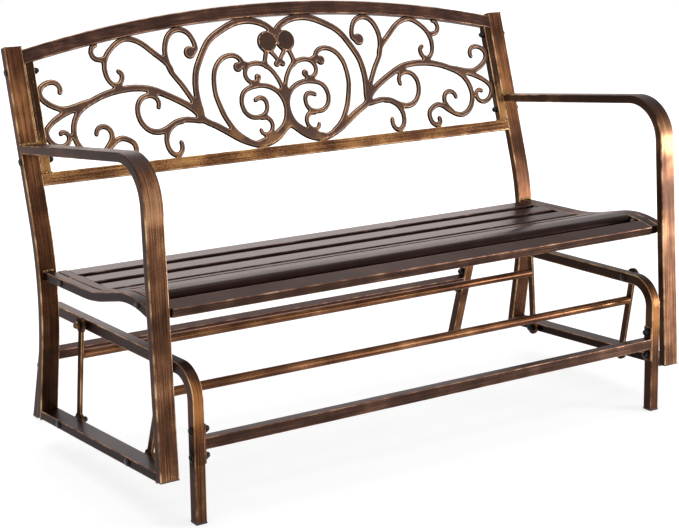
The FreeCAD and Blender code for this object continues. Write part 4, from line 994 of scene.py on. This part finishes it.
@dataclass
class WeldBeads:
    """The weld beads on one body, each a row of small overlapping ripples round a tube's end."""

    body: str
    # Tube ends as (node, the way the end looks)
    ends: list[tuple[str, Point]]
    radius: float
    pitch: float
    under_scrolls: bool = False
    rim_depth: float = 0.0006
    foot_reach: float = 0.0012
    scroll_gap: float = 0.012
    overhang: float = 0.002
    # Hand welds are uneven: ripples differ in size, and are missing where the noise is low
    noise_scale: float = 320.0
    size_mean: float = 0.95
    size_spread: float = 0.35
    missing_below: float = -0.25

    def build(self) -> None:
        """Lay every bead of the body."""
        shape = bmesh.new()
        for node, way in self.ends:
            self.round_end(shape, node, Vector(way).normalized())
        if self.under_scrolls:
            self.under_casting(shape)
        bmesh.ops.recalc_face_normals(shape, faces=shape.faces)
        piece = finish_piece(shape, f"{self.body}_weld_beads", [Finish.WELD], self.body)

    def round_end(self, shape: Mesh, node: str, way: Vector) -> None:
        """Lay a bead round the outline of one tube end.

        Args:
            shape: the beads' mesh.
            node: the tube's node.
            way: the way its end looks.
        """
        tube = merged_copy(node)
        reach = max(vert.co.dot(way) for vert in tube.verts) - self.rim_depth
        rim = [vert.co.copy() for vert in tube.verts if vert.co.dot(way) > reach]
        tube.free()
        first = Vector(RIGHT) if abs(way.x) < 0.5 else Vector(REAR)
        second = way.cross(first).normalized()
        flat = [Vector((spot.dot(first), spot.dot(second))) for spot in rim]
        outline = [rim[index] for index in geometry.convex_hull_2d(flat)]
        for start, end in zip(outline, outline[1:] + outline[:1]):
            self.bead(shape, start, end)

    def under_casting(self, shape: Mesh) -> None:
        """Lay a short bead wherever a scroll stands on the bottom rail.

        Args:
            shape: the beads' mesh.
        """
        casting = merged_copy(ScrollCasting.node)
        lowest = min(vert.co.dot(BACK.rise()) for vert in casting.verts)
        reach = lowest + self.foot_reach
        places = sorted(v.co.x for v in casting.verts if v.co.dot(BACK.rise()) < reach)
        front = min(vert.co.dot(BACK.depth()) for vert in casting.verts)
        casting.free()
        foot = BACK.point(0.0, 0.0, 0.0)
        deep, up = front - foot.dot(BACK.depth()), lowest - foot.dot(BACK.rise())
        runs: list[list[float]] = []
        for place in places:
            if runs and place - runs[-1][-1] < self.scroll_gap:
                runs[-1].append(place)
            else:
                runs.append([place])
        for run in runs:
            low, high = run[0] - self.overhang, run[-1] + self.overhang
            self.bead(shape, BACK.point(low, up, deep), BACK.point(high, up, deep))

    def bead(self, shape: Mesh, start: Vector, end: Vector) -> None:
        """Lay ripples from one point to another.

        Args:
            shape: the beads' mesh.
            start: the bead's start.
            end: the bead's end.
        """
        count = max(1, round((end - start).length / self.pitch))
        for step in range(count):
            spot = start.lerp(end, (step + 0.5) / count)
            uneven = noise.noise(spot * self.noise_scale)
            if uneven < self.missing_below:
                continue
            bmesh.ops.create_uvsphere(
                shape, u_segments=8, v_segments=5,
                radius=self.radius * (self.size_mean + self.size_spread * uneven),
                matrix=Matrix.Translation(spot) @ Matrix.Rotation(uneven * math.pi, 4, "X"),
            )


@dataclass
class Base:
    """What stands still: the two arched frames, their lower legs and the crossbars."""

    corner_radius: float = 0.0018

    def build(self) -> None:
        """Build the tubes, the crossbars' fixings and the links' upper pivots."""
        for nodes, finish, edge_finish in (
            (sides("base_arch"), Finish.BASE_ARCH, Finish.EDGE_GOLD),
            (sides("base_leg_front", "base_leg_rear"), Finish.BASE_LEG, Finish.EDGE_COPPER),
            (["crossbar_front", "crossbar_rear"], Finish.CROSSBAR, Finish.EDGE_COPPER),
        ):
            TubeSet(nodes, finish, edge_finish, "bronze_steel", self.corner_radius).build()
        Fixings("crossbar", Finish.BLACK_OXIDE, Finish.BLACK_OXIDE).build()
        Fixings("upper_pivot", Finish.BLACK_OXIDE, Finish.PAINTED_NUT).build()
        dress(Finish.BLACK_OXIDE, "upper_pivot_washers")
        dress(Finish.PLUG_PLASTIC, *sides("foot_plug_front", "foot_plug_rear"))


@dataclass
class Swings:
    """The front and rear swing: two links each, with a round bar welded between them."""

    link_radius: float = 0.0012
    link_segments: int = 2
    bead_radius: float = 0.0016
    bead_pitch: float = 0.0018

    def build(self) -> None:
        """Build the links and the bars' welds, and dress the bars and bushings."""
        TubeSet(
            sides("front_link", "rear_link"), Finish.BASE_LEG, Finish.EDGE_GOLD,
            "bronze_steel", self.link_radius, self.link_segments,
        ).build()
        for bar in ("front_swing_bar", "rear_swing_bar"):
            ends = [(bar, RIGHT), (bar, LEFT)]
            WeldBeads(body_of_node(bar), ends, self.bead_radius, self.bead_pitch).build()
            dress(Finish.SWING_BAR, bar)
        dress(Finish.BUSHING_PLASTIC, "front_link_bushings", "rear_link_bushings")


@dataclass
class GliderFrame:
    """The two side frames that glide: arm and leg, post, skid and the seat's side rail."""

    arm_radius: float = 0.0022
    rail_radius: float = 0.0018
    bead_radius: float = 0.0029
    bead_pitch: float = 0.0030

    def build(self) -> None:
        """Build the tubes, the links' lower pivots and the glider's welds."""
        steel, dark = "bronze_steel", "dark_bronze_steel"
        for stem, finish, edge_finish, slot, radius in (
            ("back_post", Finish.POST, Finish.EDGE_GOLD, steel, self.arm_radius),
            ("arm_leg", Finish.ARM, Finish.EDGE_ARM, steel, self.arm_radius),
            ("skid", Finish.SEAT_RAIL, Finish.EDGE_COPPER, steel, self.rail_radius),
            ("seat_side_rail", Finish.SEAT_RAIL, Finish.EDGE_COPPER, dark, self.rail_radius),
        ):
            TubeSet(sides(stem), finish, edge_finish, slot, radius).build()
        Fixings("lower_pivot", Finish.BLACK_OXIDE, Finish.BLACK_OXIDE).build()
        dress(Finish.BLACK_OXIDE, "lower_pivot_washers")
        dress(Finish.PLUG_PLASTIC, "frame_bottom_plugs")
        dress(Finish.POST, "post_top_caps")
        self.weld()

    def weld(self) -> None:
        """Lay the beads of the side frames and of the back that is welded between them."""
        ends: list[tuple[str, Point]] = []
        for node in sides("seat_side_rail", "skid"):
            ends += [(node, REAR), (node, FRONT)]
        ends += [(node, REAR) for node in sides("arm_leg")]
        ends += [(node, tuple(-BACK.rise())) for node in sides("backrest_side_tube")]
        WeldBeads(
            body_of_node("skid_left"), ends, self.bead_radius, self.bead_pitch, under_scrolls=True
        ).build()


@dataclass
class SeatPanel:
    """The seat: a waterfall slat, four flat slats and a front bar between two end rails, whose
    front ends are closed by thin plates a little way in."""

    slat_radius: float = 0.0022
    rail_radius: float = 0.0018
    bolt_head_radius: float = 0.0066
    plate_set_in: float = 0.0004
    plate_thickness: float = 0.0016
    plate_fit: float = 0.96
    # The cut looks at least this squarely to the front, and its rim is this flat
    cut_facing: float = 0.7
    cut_flatness: float = 1e-4

    def build(self) -> None:
        """Build the slats, rails, end plates and the panel's four fixings."""
        slats = ["seat_waterfall_slat"] + [f"seat_slat_{n}" for n in range(1, 5)]
        for nodes, finish, edge_finish, radius in (
            (slats, Finish.SLAT, Finish.EDGE_SLAT, self.slat_radius),
            (sides("seat_end_rail"), Finish.SEAT_RAIL, Finish.EDGE_COPPER, self.rail_radius),
            (["seat_front_bar"], Finish.CROSSBAR, Finish.EDGE_COPPER, self.rail_radius),
        ):
            TubeSet(nodes, finish, edge_finish, "dark_bronze_steel", radius).build()
        self.end_plates()
        painted = Finish.PAINTED_STEEL
        Fixings("seat", painted, painted, self.bolt_head_radius).build()
        dress(painted, "seat_spacers")

    def end_plates(self) -> None:
        """Weld a plate into each end rail's front end."""
        shape = bmesh.new()
        nodes = sides("seat_end_rail")
        for node in nodes:
            self.end_plate(shape, node)
        bmesh.ops.recalc_face_normals(shape, faces=shape.faces)
        body = body_of_node(nodes[0])
        piece = finish_piece(shape, "seat_end_rail_plates", [Finish.SEAT_RAIL], body)

    def end_plate(self, shape: Mesh, node: str) -> None:
        """Make the plate that fills one rail's end.

        Args:
            shape: the plates' mesh.
            node: the rail's node.
        """
        tube = merged_copy(node)
        way = Vector(FRONT)
        looking = [face for face in tube.faces if face.normal.dot(way) > self.cut_facing]
        cut = max(looking, key=lambda face: face.calc_center_median().dot(way))
        out = cut.normal.copy()
        level = cut.calc_center_median().dot(out)
        spots = [vert.co.copy() for vert in tube.verts]
        rim = [spot for spot in spots if abs(spot.dot(out) - level) < self.cut_flatness]
        tube.free()
        middle = sum(rim, Vector()) / len(rim)
        corners = [
            shape.verts.new(middle + (spot - middle) * self.plate_fit - out * deep)
            for spot in rim
            for deep in (self.plate_set_in, self.plate_set_in + self.plate_thickness)
        ]
        bmesh.ops.convex_hull(shape, input=corners)
        loose = [vert for vert in corners if vert.is_valid and not vert.link_faces]
        bmesh.ops.delete(shape, geom=loose, context="VERTS")


@dataclass
class Backrest:
    """The back: its welded frame of four tubes, the cast scroll-work and four fixings."""

    arch_radius: float = 0.0022
    tube_radius: float = 0.0018

    def build(self) -> None:
        """Build the frame, the casting and the fixings."""
        for nodes, finish, edge_finish, radius in (
            (["backrest_top_arch"], Finish.TOP_ARCH, Finish.EDGE_COPPER, self.arch_radius),
            (["backrest_bottom_rail"], Finish.BOTTOM_RAIL, Finish.EDGE_GOLD, self.tube_radius),
            (sides("backrest_side_tube"), Finish.SIDE_TUBE, Finish.EDGE_GOLD, self.tube_radius),
        ):
            TubeSet(nodes, finish, edge_finish, "bronze_steel", radius).build()
        ScrollCasting().build()
        Fixings("backrest", Finish.BLACK_OXIDE, Finish.BLACK_OXIDE).build()


@dataclass(frozen=True)
class Lamp:
    """A soft square lamp: where it hangs, what it shines at, its side and its watts."""

    name: str
    place: Point
    target: Point
    size: float
    power: float

    def hang(self) -> None:
        """Hang the lamp."""
        data = bpy.data.lights.new(self.name, "AREA")
        data.size = self.size
        data.energy = self.power
        made = bpy.data.objects.new(self.name, data)
        made.location = self.place
        aim = Vector(self.target) - Vector(self.place)
        made.rotation_euler = aim.to_track_quat("-Z", "Y").to_euler()
        bpy.context.scene.collection.objects.link(made)


@dataclass
class Studio:
    """A pale floor, soft lamps and the camera at the photograph's angle."""

    camera_place: Point = (-1.9442, -2.844, 1.204)
    pitch: float = 11.807
    yaw: float = 33.688
    lens: float = 89.17
    shift: Pair = (0.0165, -0.1059)
    lamps: tuple[Lamp, ...] = (
        Lamp("Key lamp", (2.9, -2.6, 0.42), (0.6, -0.3, 0.25), 1.1, 88.0),
        Lamp("Top lamp", (-0.2, 0.2, 3.2), (0.0, 0.0, 0.4), 3.0, 50.0),
        Lamp("Back lamp", (1.6, 3.0, 1.8), (0.0, 0.0, 0.4), 2.2, 30.0),
    )
    world_light: float = 0.5
    floor_size: float = 14.0
    floor_colour: str = "bcbcbc"
    floor_glow: float = 0.66
    # The floor turns white between these distances, and keeps the bench's shadow before them
    sweep: Pair = (1.0, 2.4)

    def build(self) -> None:
        """Set the floor, the world, the lamps and the camera."""
        self.floor()
        self.world()
        for lamp in self.lamps:
            lamp.hang()
        self.camera()
        bpy.context.scene.view_settings.view_transform = "Standard"

    def floor(self) -> None:
        """Lay the pale floor under the feet."""
        shape = bmesh.new()
        bmesh.ops.create_grid(shape, x_segments=1, y_segments=1, size=self.floor_size / 2)
        mesh = bpy.data.meshes.new("Studio floor")
        shape.to_mesh(mesh)
        shape.free()
        plane = bpy.data.objects.new("Studio_floor", mesh)
        bpy.context.scene.collection.objects.link(plane)
        made, tree, shader = start_material("Pale studio floor")
        place = add_node(tree, "TexCoord").outputs["Object"]
        away = add_node(tree, "VectorMath", {0: place}, operation="LENGTH").outputs["Value"]
        inputs = dict(zip(RANGE, (away, *self.sweep, self.floor_glow, 1.0)))
        glow = add_node(tree, "MapRange", inputs).outputs[0]
        finish = {
            "Base Color": linear(self.floor_colour),
            "Roughness": 0.95,
            "Emission Color": WHITE,
            "Emission Strength": self.seen(tree, 0.0, glow),
        }
        feed(tree, shader, finish)
        mesh.materials.append(made)

    def world(self) -> None:
        """Light the scene evenly, with white behind it."""
        world = bpy.data.worlds.new("Studio world")
        bpy.context.scene.world = world
        world.use_nodes = True
        tree = world.node_tree
        tree.nodes.clear()
        strength = self.seen(tree, self.world_light, 1.0)
        sky = add_node(tree, "Background", {"Color": WHITE, "Strength": strength})
        add_node(tree, "OutputWorld", {"Surface": sky.outputs[0]})

    def seen(self, tree: Tree, hidden: float, shown: float | Socket) -> Socket:
        """Give rays that show the background one strength, and the rest another.

        Args:
            tree: the node tree.
            hidden: the strength that lights the object.
            shown: the strength that the camera and reflections see.

        Returns:
            The strength.
        """
        path = add_node(tree, "LightPath").outputs
        either = path["Is Camera Ray"]
        for ray in ("Is Glossy Ray", "Is Transmission Ray"):
            inputs = {0: either, 1: path[ray]}
            either = add_node(tree, "Math", inputs, operation="MAXIMUM").outputs[0]
        inputs = dict(zip(RANGE, (either, 0.0, 1.0, hidden, shown)))
        return add_node(tree, "MapRange", inputs).outputs[0]

    def camera(self) -> None:
        """Stand the camera where the photograph was taken."""
        data = bpy.data.cameras.new("Photograph camera")
        data.sensor_width = 36.0
        data.lens = self.lens
        data.shift_x, data.shift_y = self.shift
        made = bpy.data.objects.new("Photograph camera", data)
        made.location = self.camera_place
        made.rotation_euler = (math.radians(90 - self.pitch), 0.0, math.radians(-self.yaw))
        bpy.context.scene.collection.objects.link(made)
        bpy.context.scene.camera = made


def main() -> None:
    """Build every sub-assembly in order, then the studio round them."""
    logging.basicConfig(level=logging.INFO)
    for assembly in (Base(), Swings(), GliderFrame(), SeatPanel(), Backrest(), Studio()):
        assembly.build()
        LOG.info("%s is built", type(assembly).__name__)


if __name__ == "__main__":
    main()
